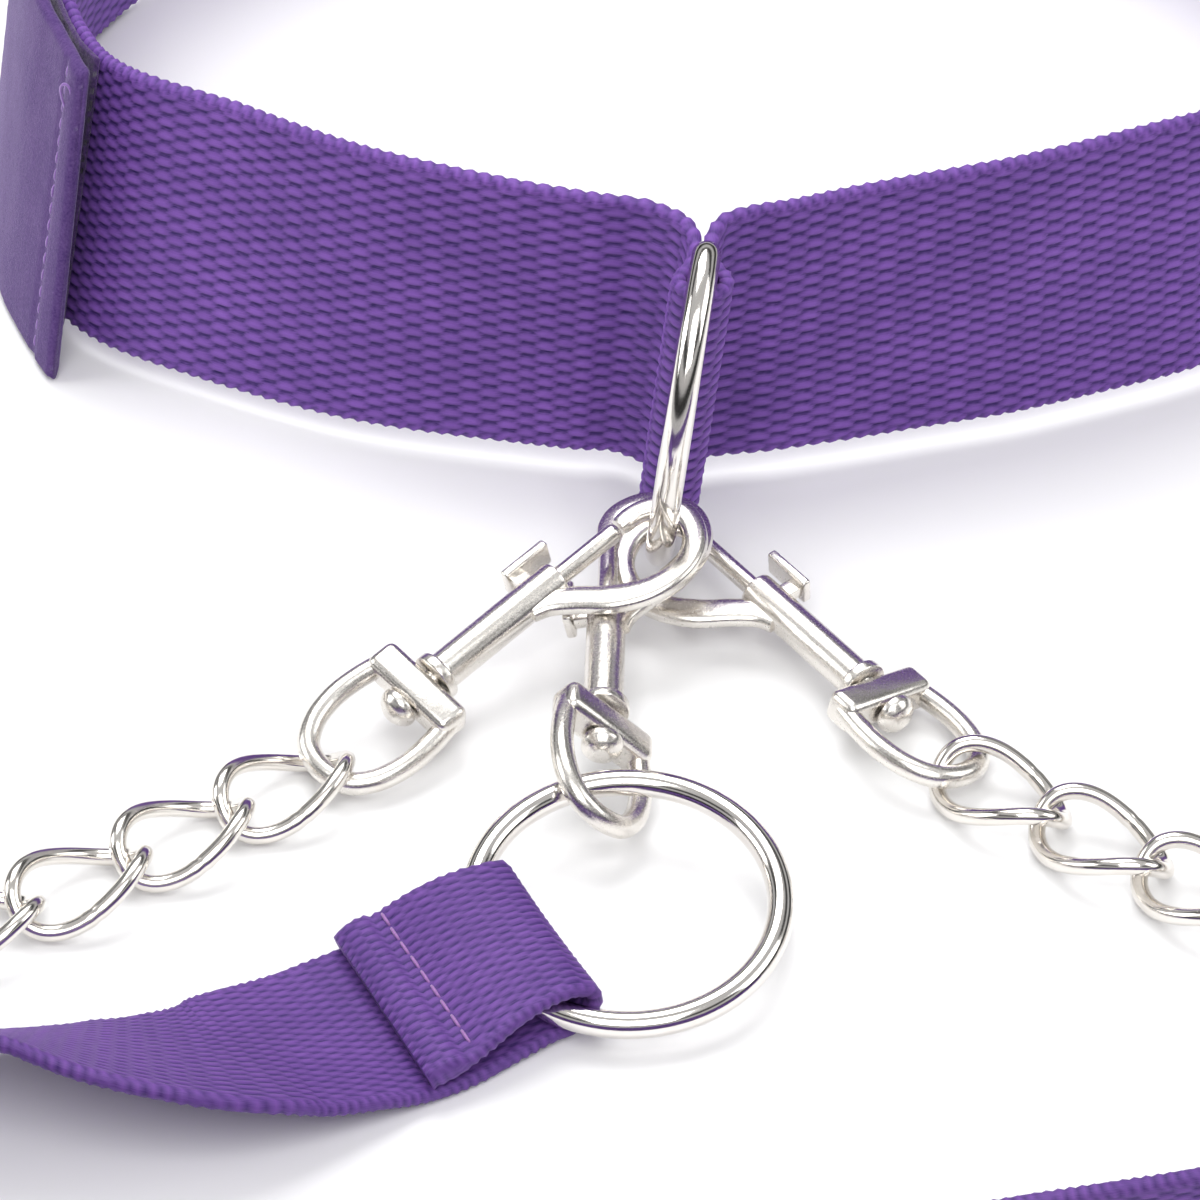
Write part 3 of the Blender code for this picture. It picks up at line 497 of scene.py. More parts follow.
FOLD_A, FOLD_B = oring_point(162), oring_point(260)
FOLD_W = (FOLD_B - FOLD_A).normalized()
FOLD_D = Vector((-FOLD_W.y, FOLD_W.x, 0)).normalized()       # towards the middle of the O-ring
FOLD_C = (FOLD_A + FOLD_B) / 2
SEAM = Vector((-23.7, -73.4, 0))
SEAM_W = Vector((0.456, -0.89, 0))
FOLD_R = 2.0 + LEAD_T / 2
PINCH_IN = 1.9
def toward_seam(f, z):
    """Point a fraction f of the way from the fold to the seam."""
    q = FOLD_C.lerp(SEAM, f)
    q.z = z
    return q, FOLD_W.lerp(SEAM_W, f).normalized()
ST = []
for f, dz in ((1.0, None), (0.78, None), (0.58, None), (0.38, 2.65), (0.22, 2.75), (0.10, FOLD_R)):
    z = {1.0: 3.35, 0.78: 4.6, 0.58: 6.3}.get(f, FOLD_C.z - 0.9 * f + (dz or 0))
    ST.append(toward_seam(f, z))
for k in range(1, 8):
    a = pi / 2 - pi * k / 8
    ST.append((FOLD_C + FOLD_D * (-1.9 + FOLD_R * cos(a)) + Vector((0, 0, FOLD_R * sin(a))), FOLD_W))
for f, z in ((0.10, FOLD_C.z - FOLD_R), (0.28, 2.4), (0.6, 1.9), (1.0, 1.5)):
    ST.append(toward_seam(f, z))
UP = Vector((0, 0, 1))
ZE = LEAD_W / 2 + 0.5
ST += [(Vector((-33.0, -78.8, 3.5)), Vector((0.30, -0.93, 0.17))), (Vector((-42.6, -83.6, 7.0)), Vector((0.067, -0.925, 0.38))),
       (Vector((-53.0, -84.6, 8.9)), Vector((0.10, -0.83, 0.54))), (Vector((-63.6, -84.2, 10.4)), Vector((0.131, -0.72, 0.68))),
       (Vector((-84.0, -85.5, 12.2)), Vector((0.1, -0.35, 0.93)))]
MAINRUN = [(-102, -91), (-114, -97.5), (-119, -109), (-114, -121.5), (-100, -130), (-70, -132.8), (-35, -132), (0, -129.5), (22, -125.2),
           (39, -120.9), (59, -116.8), (80, -111.5), (100, -106), (122, -99.5), (150, -93.5), (180, -92), (203, -98), (212, -111),
           (206, -125), (186, -132), (160, -130), (140, -121)]
ST += [(Vector((x, y, ZE)), UP) for x, y in MAINRUN]


def lead_frames():
    C = catmull([p for p, w in ST], 6)
    Wc = []
    for (p, w), (q, v) in zip(ST, ST[1:]):
        for k in range(6):
            f = k / 6
            Wc.append(w.lerp(v, f * f * (3 - 2 * f)).normalized())
    Wc.append(ST[-1][1].copy())
    # even spacing, finer round the O-ring
    L = [0.0]
    for a, b in zip(C, C[1:]):
        L.append(L[-1] + (b - a).length)
    near = 48.0
    marks, s = [], 0.0
    while s < L[-1] - 0.5:
        marks.append(s)
        s += 1.5 if 19.0 < s < 30.0 else (3.4 if s < near else 7.0)
    marks.append(L[-1])
    P, W = [], []
    j = 0
    for s in marks:
        while j < len(L) - 2 and L[j + 1] < s:
            j += 1
        f = (s - L[j]) / max(L[j + 1] - L[j], 1e-9)
        P.append(C[j].lerp(C[j + 1], f))
        W.append(Wc[j].lerp(Wc[j + 1], f).normalized())
    # the handle's end lies flat against the lead and is sewn to it
    near_pts = [i for i, q in enumerate(P) if q.x > 84 and q.x < 116 and q.y > -113 and q.z > 12 and i < len(P) - 8]
    tail = []
    for i in reversed(near_pts):
        t = (P[i + 1] - P[i - 1]).normalized()
        tail.append(P[i] + Vector((t.y, -t.x, 0)) * (LEAD_T + GAP + 0.05))
    join = catmull([P[-2], P[-1], Vector((126.5, -110.8, ZE)), tail[0], tail[1]], 3)[3:-3]
    P = P[:-1] + join[1:] + tail[1:]
    W = W[:len(W) - 1] + [UP] * (len(P) - len(W) + 1)
    T = tangents(P, False)
    N, WW = [], []
    for t, w in zip(T, W):
        w = (w - t * w.dot(t)).normalized()
        WW.append(w)
        N.append(w.cross(t).normalized())
    def half(i):
        """Half width: the webbing draws in where it is pinched round the O-ring."""
        d = ((P[i] - FOLD_C).length if i < 40 else 99.0)
        return LEAD_W / 2 - PINCH_IN * max(0.0, 1.0 - max(0.0, d - 4.0) / 11.0)
    return P, WW, N, [half(i) for i in range(len(P))]



# ======================================================================================================================
# fine pieces
# ======================================================================================================================
import numpy as np
SH = SHIFT

def quick_mesh(name, verts, quads, smooth=True, tris=None):
    """Mesh from arrays in millimetres of the building frame."""
    me = bpy.data.meshes.new(name)
    v = np.asarray(verts, np.float64) * MM + np.array(SH)
    me.vertices.add(len(v))
    me.vertices.foreach_set("co", v.astype(np.float32).ravel())
    q = np.asarray(quads, np.int32).reshape(-1, 4) if quads is not None and len(quads) else np.zeros((0, 4), np.int32)
    t = np.asarray(tris, np.int32).reshape(-1, 3) if tris is not None and len(tris) else np.zeros((0, 3), np.int32)
    nl = q.size + t.size
    me.loops.add(nl)
    me.loops.foreach_set("vertex_index", np.concatenate([q.ravel(), t.ravel()]))
    me.polygons.add(len(q) + len(t))
    starts = np.concatenate([np.arange(len(q)) * 4, len(q) * 4 + np.arange(len(t)) * 3]).astype(np.int32)
    me.polygons.foreach_set("loop_start", starts)
    me.update(calc_edges=True)
    me.validate()
    if smooth:
        me.polygons.foreach_set("use_smooth", np.ones(len(me.polygons), bool))
    me.update()
    ob = bpy.data.objects.new(name, me)
    bpy.context.scene.collection.objects.link(ob)
    return ob

def put_attr(ob, name, values):
    a = ob.data.attributes.new(name, "FLOAT", "POINT")
    a.data.foreach_set("value", np.asarray(values, np.float32))

def put_uv(ob, uv):
    """uv per vertex, in millimetres."""
    lay = ob.data.uv_layers.new(name="mm")
    li = np.zeros(len(ob.data.loops), np.int32)
    ob.data.loops.foreach_get("vertex_index", li)
    lay.data.foreach_set("uv", np.asarray(uv, np.float32)[li].ravel())

# ---- finishes -----------------------------------------------------------------------------------------------------
def new_mat(name):
    m = bpy.data.materials.new(name)
    m.use_nodes = True
    nt = m.node_tree
    b = nt.nodes.get("Principled BSDF")
    return m, nt, b

def mix_colour(nt, fac, a, b, mode="MIX"):
    n = nt.nodes.new("ShaderNodeMix")
    n.data_type = "RGBA"
    n.blend_type = mode
    if isinstance(fac, float):
        n.inputs[0].default_value = fac
    else:
        nt.links.new(fac, n.inputs[0])
    for i, v in ((6, a), (7, b)):
        if isinstance(v, tuple):
            n.inputs[i].default_value = (*v, 1.0)
        else:
            nt.links.new(v, n.inputs[i])
    return n.outputs[2]

def ramp(nt, src, stops):
    r = nt.nodes.new("ShaderNodeMapRange")
    r.inputs["From Min"].default_value, r.inputs["From Max"].default_value = stops[0]
    r.inputs["To Min"].default_value, r.inputs["To Max"].default_value = stops[1]
    nt.links.new(src, r.inputs["Value"])
    return r.outputs["Result"]

def noise(nt, vec, scale, detail=3.0, rough=0.6):
    n = nt.nodes.new("ShaderNodeTexNoise")
    n.inputs["Scale"].default_value = scale
    n.inputs["Detail"].default_value = detail
    n.inputs["Roughness"].default_value = rough
    nt.links.new(vec, n.inputs["Vector"])
    return n.outputs["Fac"]

def obj_vec(nt, scale=(1, 1, 1), kind="Object"):
    t = nt.nodes.new("ShaderNodeTexCoord")
    m = nt.nodes.new("ShaderNodeMapping")
    m.inputs["Scale"].default_value = scale
    nt.links.new(t.outputs[kind], m.inputs["Vector"])
    return m.outputs["Vector"]

def bump(nt, b, height, strength, dist, prev=None):
    n = nt.nodes.new("ShaderNodeBump")
    n.inputs["Strength"].default_value = strength
    n.inputs["Distance"].default_value = dist
    nt.links.new(height, n.inputs["Height"])
    if prev is not None:
        nt.links.new(prev, n.inputs["Normal"])
    nt.links.new(n.outputs["Normal"], b.inputs["Normal"])
    return n.outputs["Normal"]

def woven_mat(name, light, dark, tint):
    """Multifilament webbing: crowns in the yarn colour, painted shade in the gaps between them (the crown mask darkens
    the colour there), fine filaments along the yarns, thread sheen.
    """
    m, nt, b = new_mat(name)
    at = nt.nodes.new("ShaderNodeAttribute")
    at.attribute_name = "crown"
    uv = nt.nodes.new("ShaderNodeUVMap")
    uv.uv_map = "mm"
    mp = nt.nodes.new("ShaderNodeMapping")
    mp.inputs["Scale"].default_value = (0.55, 9.0, 1.0)
    nt.links.new(uv.outputs["UV"], mp.inputs["Vector"])
    fil = noise(nt, mp.outputs["Vector"], 1.0, 2.0, 0.5)
    mp2 = nt.nodes.new("ShaderNodeMapping")
    mp2.inputs["Scale"].default_value = (0.06, 0.09, 1.0)
    nt.links.new(uv.outputs["UV"], mp2.inputs["Vector"])
    big = noise(nt, mp2.outputs["Vector"], 1.0, 3.0, 0.6)
    # painted shade: the crown mask takes the colour to dark in the weave gaps and under each arched crown, where shade
    # falls
    f = ramp(nt, at.outputs["Fac"], ((0.14, 0.94), (0.0, 1.0)))
    c = mix_colour(nt, f, dark, light)
    c2 = mix_colour(nt, ramp(nt, fil, ((0.3, 0.75), (0.0, 0.38))), c, tint)
    c3 = mix_colour(nt, ramp(nt, big, ((0.35, 0.7), (0.0, 0.22))), c2, dark)
    nt.links.new(c3, b.inputs["Base Color"])
    b.inputs["Roughness"].default_value = 0.62
    b.inputs["Sheen Weight"].default_value = 0.12
    b.inputs["Sheen Roughness"].default_value = 0.4
    b.inputs["Sheen Tint"].default_value = (0.75, 0.6, 1.0, 1.0)
    b.inputs["Specular IOR Level"].default_value = 0.35
    bump(nt, b, fil, 0.45, 0.00012)
    return m

def velvet_mat():
    m, nt, b = new_mat("brushed_flap_mat")
    v = obj_vec(nt, (1000, 1000, 1000))
    n1 = noise(nt, v, 2.6, 4.0, 0.7)
    n2 = noise(nt, v, 0.16, 3.0, 0.6)
    c = mix_colour(nt, ramp(nt, n1, ((0.32, 0.72), (0.0, 1.0))), (0.050, 0.024, 0.120), (0.120, 0.064, 0.215))
    c = mix_colour(nt, ramp(nt, n2, ((0.35, 0.7), (0.0, 0.30))), c, (0.16, 0.095, 0.25))
    nt.links.new(c, b.inputs["Base Color"])
    b.inputs["Roughness"].default_value = 0.92
    b.inputs["Specular IOR Level"].default_value = 0.15
    b.inputs["Sheen Weight"].default_value = 0.30
    b.inputs["Sheen Roughness"].default_value = 0.35
    b.inputs["Sheen Tint"].default_value = (0.80, 0.72, 1.0, 1.0)
    bump(nt, b, n1, 0.5, 0.0002)
    return m

def pile_mat(name, dark, light):
    m, nt, b = new_mat(name)
    v = obj_vec(nt, (1000, 1000, 1000))
    n1 = noise(nt, v, 2.2, 4.0, 0.7)
    c = mix_colour(nt, ramp(nt, n1, ((0.3, 0.75), (0.0, 1.0))), dark, light)
    nt.links.new(c, b.inputs["Base Color"])
    b.inputs["Roughness"].default_value = 0.85
    b.inputs["Sheen Weight"].default_value = 0.3
    b.inputs["Specular IOR Level"].default_value = 0.2
    bump(nt, b, n1, 0.6, 0.0003)
    return m

def thread_mat(name, col):
    m, nt, b = new_mat(name)
    v = obj_vec(nt, (1000, 1000, 1000))
    n1 = noise(nt, v, 3.0, 2.0, 0.5)
    c = mix_colour(nt, ramp(nt, n1, ((0.3, 0.7), (0.0, 0.6))), col, tuple(x * 0.55 for x in col))
    nt.links.new(c, b.inputs["Base Color"])
    b.inputs["Roughness"].default_value = 0.55
    b.inputs["Sheen Weight"].default_value = 0.4
    return m

def nickel_mat(name, base, rough, cast):
    """Bright nickel plate: slightly warm, faint wear and handling marks; cast pieces are a little uneven."""
    m, nt, b = new_mat(name)
    v = obj_vec(nt, (1000, 1000, 1000))
    n1 = noise(nt, v, 0.35, 4.0, 0.6)
    n2 = noise(nt, v, 3.5, 3.0, 0.6)
    c = mix_colour(nt, ramp(nt, n1, ((0.4, 0.75), (0.0, 0.30))), base, tuple(x * y for x, y in zip(base, (0.90, 0.86, 0.80))))
    nt.links.new(c, b.inputs["Base Color"])
    b.inputs["Metallic"].default_value = 1.0
    r = nt.nodes.new("ShaderNodeMath")
    r.operation = "MULTIPLY_ADD"
    nt.links.new(n2, r.inputs[0])
    r.inputs[1].default_value = 0.12 if cast else 0.07
    r.inputs[2].default_value = rough
    nt.links.new(r.outputs[0], b.inputs["Roughness"])
    bump(nt, b, n1, 0.14 if cast else 0.04, 0.0004)
    return m

# each webbing's dark colour is painted shade for the weave gaps; it also tints random darker patches
M_WEB = woven_mat("webbing_mat", (0.200, 0.078, 0.405), (0.014, 0.003, 0.085), (0.265, 0.122, 0.490))
M_LEAD = woven_mat("lead_webbing_mat", (0.147, 0.056, 0.298), (0.017, 0.005, 0.088), (0.205, 0.094, 0.372))
M_VELVET = velvet_mat()
M_LOOP = pile_mat("loop_pile_mat", (0.030, 0.012, 0.075), (0.120, 0.055, 0.215))
M_HOOK = pile_mat("hook_pile_mat", (0.028, 0.012, 0.060), (0.090, 0.045, 0.160))
M_THREAD = thread_mat("thread_mat", (0.30, 0.15, 0.50))
M_THREAD_PINK = thread_mat("lead_thread_mat", (0.34, 0.145, 0.43))
M_CAST = nickel_mat("cast_nickel_mat", (0.80, 0.77, 0.73), 0.20, True)
M_RING = nickel_mat("ring_nickel_mat", (0.82, 0.79, 0.76), 0.09, False)
M_CHAIN = nickel_mat("chain_nickel_mat", (0.80, 0.77, 0.73), 0.13, False)
M_SPRING = nickel_mat("spring_wire_mat", (0.60, 0.59, 0.58), 0.22, False)

def dress(ob, mat, body=None, nodes=()):
    ob.data.materials.clear()
    ob.data.materials.append(mat)
    if nodes:
        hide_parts(*nodes)
    if body:
        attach(ob, body)
    return ob

# ---- woven strips -------------------------------------------------------------------------------------------------------
COL = 2.48         # length of one yarn crown along the webbing
PITCH = 1.80       # from rib to rib across the webbing

def crowns(s, t, pitch=PITCH, col=COL):
    """0 in the gaps to 1 on a crown; alternate columns are half a rib apart."""
    wob = 0.10 * np.sin(s * 0.21 + t * 0.13) + 0.07 * np.sin(s * 0.083 - t * 0.31 + 1.0)
    tt = t + wob
    out = np.zeros(np.broadcast(s, t).shape)
    for k in (0, 1):
        ds = (s + k * col + 0.5 * 2 * col) % (2 * col) - col
        dt = (tt + k * pitch / 2 + pitch / 2) % pitch - pitch / 2
        lens = 0.44 * pitch * (1.0 - 0.18 * np.abs(ds / (0.70 * col)))
        droop = dt + 0.16 * pitch * (ds / (0.7 * col)) ** 2            # each crown arches
        e = (1.0 - (np.abs(ds) / (0.70 * col)) ** 3.0 - (np.abs(droop) / lens) ** 2) * (1.0 if k == 0 else 0.86)
        out = np.maximum(out, e)
    return np.clip(out, 0, 1) ** 0.70

def dense(P, step, vals):
    """Smooth path through P at even spacing, with the rows of each array in vals carried along."""
    P = np.array([tuple(p) for p in P], float)
    d = np.concatenate([[0], np.cumsum(np.linalg.norm(np.diff(P, axis=0), axis=1))])
    n = int(round(d[-1] / step)) + 1
    s = np.linspace(0, d[-1], n)
    # Catmull-Rom on the arc length
    m = np.gradient(P, d, axis=0)
    i = np.clip(np.searchsorted(d, s, side="right") - 1, 0, len(P) - 2)
    h = (d[i + 1] - d[i])[:, None]
    u = ((s - d[i]) / (d[i + 1] - d[i]))[:, None]
    Q = ((2 * u ** 3 - 3 * u ** 2 + 1) * P[i] + (u ** 3 - 2 * u ** 2 + u) * h * m[i] + (-2 * u ** 3 + 3 * u ** 2) * P[i + 1]
         + (u ** 3 - u ** 2) * h * m[i + 1])
    out = []
    for v in vals:
        v = np.array([tuple(x) if hasattr(x, "__len__") else (x,) for x in v], float)
        out.append(v[i] * (1 - u) + v[i + 1] * u)
    return s, Q, out

def ring_profile(width_half, T, dt):
    """Cross-section samples of a flat woven strip: (across, through, outward across, outward through, side) with rounded selvedges."""
    r = T / 2
    n = max(4, int(round((2 * width_half - 2 * r) / dt)))
    a = np.linspace(-width_half + r, width_half - r, n + 1)
    rows = [(x, r, 0.0, 1.0, 1) for x in a]
    for k in range(1, 6):
        g = pi / 2 - pi * k / 6
        rows.append((width_half - r + r * cos(g), r * sin(g), cos(g), sin(g), 2))
    rows += [(x, -r, 0.0, -1.0, 3) for x in a[::-1]]
    for k in range(1, 6):
        g = -pi / 2 - pi * k / 6
        rows.append((-width_half + r + r * cos(g), r * sin(g), cos(g), sin(g), 4))
    return np.array(rows)

def woven(name, s, place, width, T, mat, amp_out=0.15, amp_in=0.09, extra=None, narrow=None, dt=0.27, pitch=PITCH, col=COL):
    """Closed woven strip. place(i_array, across_array, through_array) gives points; across runs -width/2..width/2."""
    prof = ring_profile(width / 2, T, dt)
    n, k = len(s), len(prof)
    S = np.repeat(s[:, None], k, 1)
    A = np.repeat(prof[None, :, 0], n, 0)
    B = np.repeat(prof[None, :, 1], n, 0)
    side = prof[:, 4].astype(int)
    # weave pattern from the position across the strip
    crown = crowns(S, A, pitch, col)
    sel = np.isin(side, (2, 4))
    edge_f = np.clip((np.abs(prof[:, 0]) - (width / 2 - 1.3)) / 0.4, 0, 1)[None, :]
    # selvedge: short slanted stitches, raised in the relief and with painted shade between them through the crown mask
    slant = 0.5 + 0.5 * np.cos(2 * pi * (S / (0.74 * col) + (np.abs(A) - width / 2) * 0.45))
    crown = crown * (1 - edge_f) + (0.25 + 0.75 * slant) * edge_f
    rng = np.random.default_rng(len(s) * 7 + 3)
    amp = np.where(side == 3, amp_in, amp_out)[None, :]
    h = (crown - 0.50) * amp + rng.normal(0, 0.006, crown.shape)
    if narrow is not None:
        A = A * narrow[:, None]
    h_t = B + prof[None, :, 3] * h
    h_a = A + prof[None, :, 2] * h
    if extra is not None:
        h_t = h_t + extra(S, A, prof[None, :, 3])
    V = place(np.arange(n), h_a, h_t)
    idx = np.arange(n * k).reshape(n, k)
    a = idx[:-1, :]
    b = np.roll(idx, -1, axis=1)[:-1, :]
    c = np.roll(idx, -1, axis=1)[1:, :]
    d = idx[1:, :]
    quads = np.stack([a, b, c, d], -1).reshape(-1, 4)
    V = V.reshape(-1, 3)
    # melted ends: a shallow cap
    c0, c1 = V[:k].mean(0), V[-k:].mean(0)
    V = np.vstack([V, c0, c1])
    i0, i1 = n * k, n * k + 1
    r0, r1 = idx[0], idx[-1]
    tris = [(i0, r0[(j + 1) % k], r0[j]) for j in range(k)] + [(i1, r1[j], r1[(j + 1) % k]) for j in range(k)]
    ob = quick_mesh(name, V, quads, True, tris)
    # the crown mask sets the relief above and paints shade into the weave gaps in the material
    put_attr(ob, "crown", np.concatenate([crown.ravel(), [0.5, 0.5]]))
    uv = np.stack([S.ravel(), (A + prof[None, :, 1] * 1.0).ravel()], -1)
    put_uv(ob, np.vstack([uv, [[0, 0], [0, 0]]]))
    bm = bmesh.new()
    bm.from_mesh(ob.data)
    if bm.calc_volume(signed=True) < 0:
        bmesh.ops.reverse_faces(bm, faces=bm.faces)
        bm.to_mesh(ob.data)
    bm.free()
    ob.data.materials.append(mat)
    return ob

# collar band
BP = band_path()
ss, BQ, _ = dense(BP, 0.62, [])
BT = np.gradient(BQ, axis=0)
BT /= np.linalg.norm(BT, axis=1, keepdims=True)
BN = np.stack([BT[:, 1], -BT[:, 0], np.zeros(len(BT))], 1)
b_low = np.array([z_low(p[1]) for p in BQ])
b_kx = np.array([lean_x(Vector(p)) for p in BQ])
b_li = np.array([lean_in(Vector(p)) for p in BQ])
b_e = TAB_PINCH * np.clip((20.5 - BQ[:, 1]) / 5.0, 0, 1)
b_nar = (BAND_H / 2 - b_e) / (BAND_H / 2)
# weight for a lazy ripple of the free webbing, away from the pinch; nothing applies it
b_rip = np.clip((np.abs(BQ[:, 0] - PINCH_X) - 14) / 20, 0, 1)
def band_place(i, a, t):
    up = a + BAND_H / 2
    inward = -BN[i]
    depth = BAND_T / 2 - t
    z = b_low[i][:, None] + up
    out = np.zeros(a.shape + (3,))
    for c in range(3):
        out[..., c] = BQ[i, c][:, None] + inward[:, c][:, None] * (depth + b_li[i][:, None] * up / BAND_H)
    out[..., 0] += b_kx[i][:, None] * (z - DR_C.z)
    out[..., 2] += z
    return out
band = woven("collar_band_webbing", ss, band_place, BAND_H, BAND_T, M_WEB, 0.46, 0.10, narrow=b_nar)
dress(band, M_WEB, "collar", ["collar_band"])

def band_point(i, up, off):
    """Point off millimetres outside the band's outer face at height up above its lower edge."""
    p, nrm = BQ[i], BN[i]
    q = p - nrm * (b_li[i] * up / BAND_H) + nrm * off
    z = b_low[i] + up
    return np.array([q[0] + b_kx[i] * (z - DR_C.z), q[1], z])

# ---- threads -------------------------------------------------------------------------------------------------------------
def thread_run(name, pts, nrms, r, stitch, gap, mat, body, lift=0.12, blend=None):
    """Row of stitches along pts; each dips into the cloth at its ends."""
    P = np.array(pts, float)
    Nn = np.array(nrms, float)
    d = np.concatenate([[0], np.cumsum(np.linalg.norm(np.diff(P, axis=0), axis=1))])
    V, Q, Tt = [], [], []
    s0, k, sides, seg = 0.0, 0, 8, 7
    rng = np.random.default_rng(11)
    while s0 + stitch < d[-1]:
        s = np.linspace(s0, s0 + stitch, seg)
        c = np.stack([np.interp(s, d, P[:, j]) for j in range(3)], 1)
        n = np.stack([np.interp(s, d, Nn[:, j]) for j in range(3)], 1)
        n /= np.linalg.norm(n, axis=1, keepdims=True)
        w = np.linspace(0, 1, seg)
        c = c + n * ((np.sin(pi * w) ** 0.5) * (r + lift) - r)[:, None]
        t = np.gradient(c, axis=0)
        t /= np.linalg.norm(t, axis=1, keepdims=True)
        b = np.cross(t, n)
        b /= np.linalg.norm(b, axis=1, keepdims=True)
        c = c + b * rng.normal(0, 0.04)
        base = len(V)
        for i in range(seg):
            rr = r * (0.72 + 0.28 * sin(pi * w[i]))
            for q in range(sides):
                g = 2 * pi * q / sides
                V.append(c[i] + n[i] * rr * sin(g) + b[i] * rr * cos(g))
        for i in range(seg - 1):
            for q in range(sides):
                l = (q + 1) % sides
                Q.append((base + i * sides + q, base + i * sides + l, base + (i + 1) * sides + l, base + (i + 1) * sides + q))
        V.append(c[0]); V.append(c[-1])
        for q in range(sides):
            l = (q + 1) % sides
            Tt.append((len(V) - 2, base + l, base + q))
            Tt.append((len(V) - 1, base + (seg - 1) * sides + q, base + (seg - 1) * sides + l))
        s0 += stitch + gap
        k += 1
    ob = quick_mesh(name, np.array(V), Q, True, Tt)
    ob.data.materials.append(mat)
    if blend:
        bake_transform(ob)
    else:
        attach(ob, body)
    return ob

# stitched tack that closes the fold behind the D-ring bar, on both sides of the tab
for tag, sgn in (("left", -1), ("right", 1)):
    cand = [i for i in range(len(BQ)) if abs(BQ[i][1] - 18.0) < 0.5 and sgn * (BQ[i][0] - DR_C.x) > 0 and abs(BQ[i][0] - DR_C.x) < 6]
    if cand:
        i = cand[len(cand) // 2]
        pts = [band_point(i, u, 0.0) for u in np.linspace(3.0, BAND_H - 3.0, 30)]
        thread_run("tab_stitching_" + tag, pts, [BN[i]] * 30, 0.24, 2.2, 0.5, M_THREAD, "collar")

# ---- closure: brushed flap in one piece, hem, thread loop, pads --------------------------------------------------------------
def strip_place(path, step, off, zlo):
    """Fine frames along a plan path on the band's outer face; returns arc lengths and a placing function."""
    P = catmull([Vector((x, y, 0)) for x, y in path], 6)
    s, Q, _ = dense(P, step, [])
    T = np.gradient(Q, axis=0)
    T /= np.linalg.norm(T, axis=1, keepdims=True)
    N = np.stack([T[:, 1], -T[:, 0], np.zeros(len(T))], 1)
    zb = np.array([z_low(p[1]) for p in Q])
    li = np.array([lean_in(Vector(p)) for p in Q])
    o = off(s) if callable(off) else np.full(len(s), off)
    def place(up, out):
        """up, out: arrays (n, k) of absolute height and distance outside the offset surface."""
        h = up - zb[:, None]
        R = np.zeros(up.shape + (3,))
        for c in range(3):
            R[..., c] = Q[:, c][:, None] + N[:, c][:, None] * (o[:, None] + out - li[:, None] * h / BAND_H)
        R[..., 2] = up
        return R
    return s, Q, N, place

def soft_strip(name, path, step, off, thick, zlo, zhi, mat, rough_amp, seed, bulge=None, wave=None, dt=0.9):
    s, Q, N, place = strip_place(path, step, off, zlo)
    n = len(s)
    H = zhi - zlo
    r = thick / 2 * 0.98
    m = max(4, int(round((H - 2 * r) / dt)))
    rows = [(r + (H - 2 * r) * j / m, r, 1.0, 0.0) for j in range(m + 1)]
    rows += [(H - r + r * cos(pi / 2 - pi * k / 6), r * sin(pi / 2 - pi * k / 6), sin(pi / 2 - pi * k / 6), 0.0) for k in range(1, 6)]
    rows += [(H - r - (H - 2 * r) * j / m, -r, -1.0, 0.0) for j in range(m + 1)]
    rows += [(r + r * cos(-pi / 2 - pi * k / 6), r * sin(-pi / 2 - pi * k / 6), sin(-pi / 2 - pi * k / 6), 0.0) for k in range(1, 6)]
    pr = np.array(rows)
    k = len(pr)
    rng = np.random.default_rng(seed)
    U = np.repeat(pr[None, :, 0], n, 0)
    O = np.repeat(pr[None, :, 1], n, 0)
    S = np.repeat(s[:, None], k, 1)
    G = rng.normal(0, rough_amp, (n, k))
    O = O + G * np.abs(pr[None, :, 2])
    # rounded ends
    endf = np.clip(np.minimum(S, s[-1] - S) / (thick * 0.55), 0, 1)
    O = O * np.sqrt(1 - (1 - endf) ** 2 * 0.85)
    if bulge is not None:
        O = O + bulge(S, U) * np.clip(pr[None, :, 2], 0, 1)
    if wave is not None:
        U = U + wave(S, U)
    V = place(zlo + U, O + thick / 2)
    idx = np.arange(n * k).reshape(n, k)
    quads = np.stack([idx[:-1], np.roll(idx, -1, 1)[:-1], np.roll(idx, -1, 1)[1:], idx[1:]], -1).reshape(-1, 4)
    V = V.reshape(-1, 3)
    c0, c1 = V[:k].mean(0), V[-k:].mean(0)
    V = np.vstack([V, c0, c1])
    tris = [(n * k, idx[0][(j + 1) % k], idx[0][j]) for j in range(k)] + [(n * k + 1, idx[-1][j], idx[-1][(j + 1) % k]) for j in range(k)]
    ob = quick_mesh(name, V, quads, True, tris)
    bm = bmesh.new()
    bm.from_mesh(ob.data)
    if bm.calc_volume(signed=True) < 0:
        bmesh.ops.reverse_faces(bm, faces=bm.faces)
        bm.to_mesh(ob.data)
    bm.free()
    ob.data.materials.append(mat)
    return ob, s, Q, N, place

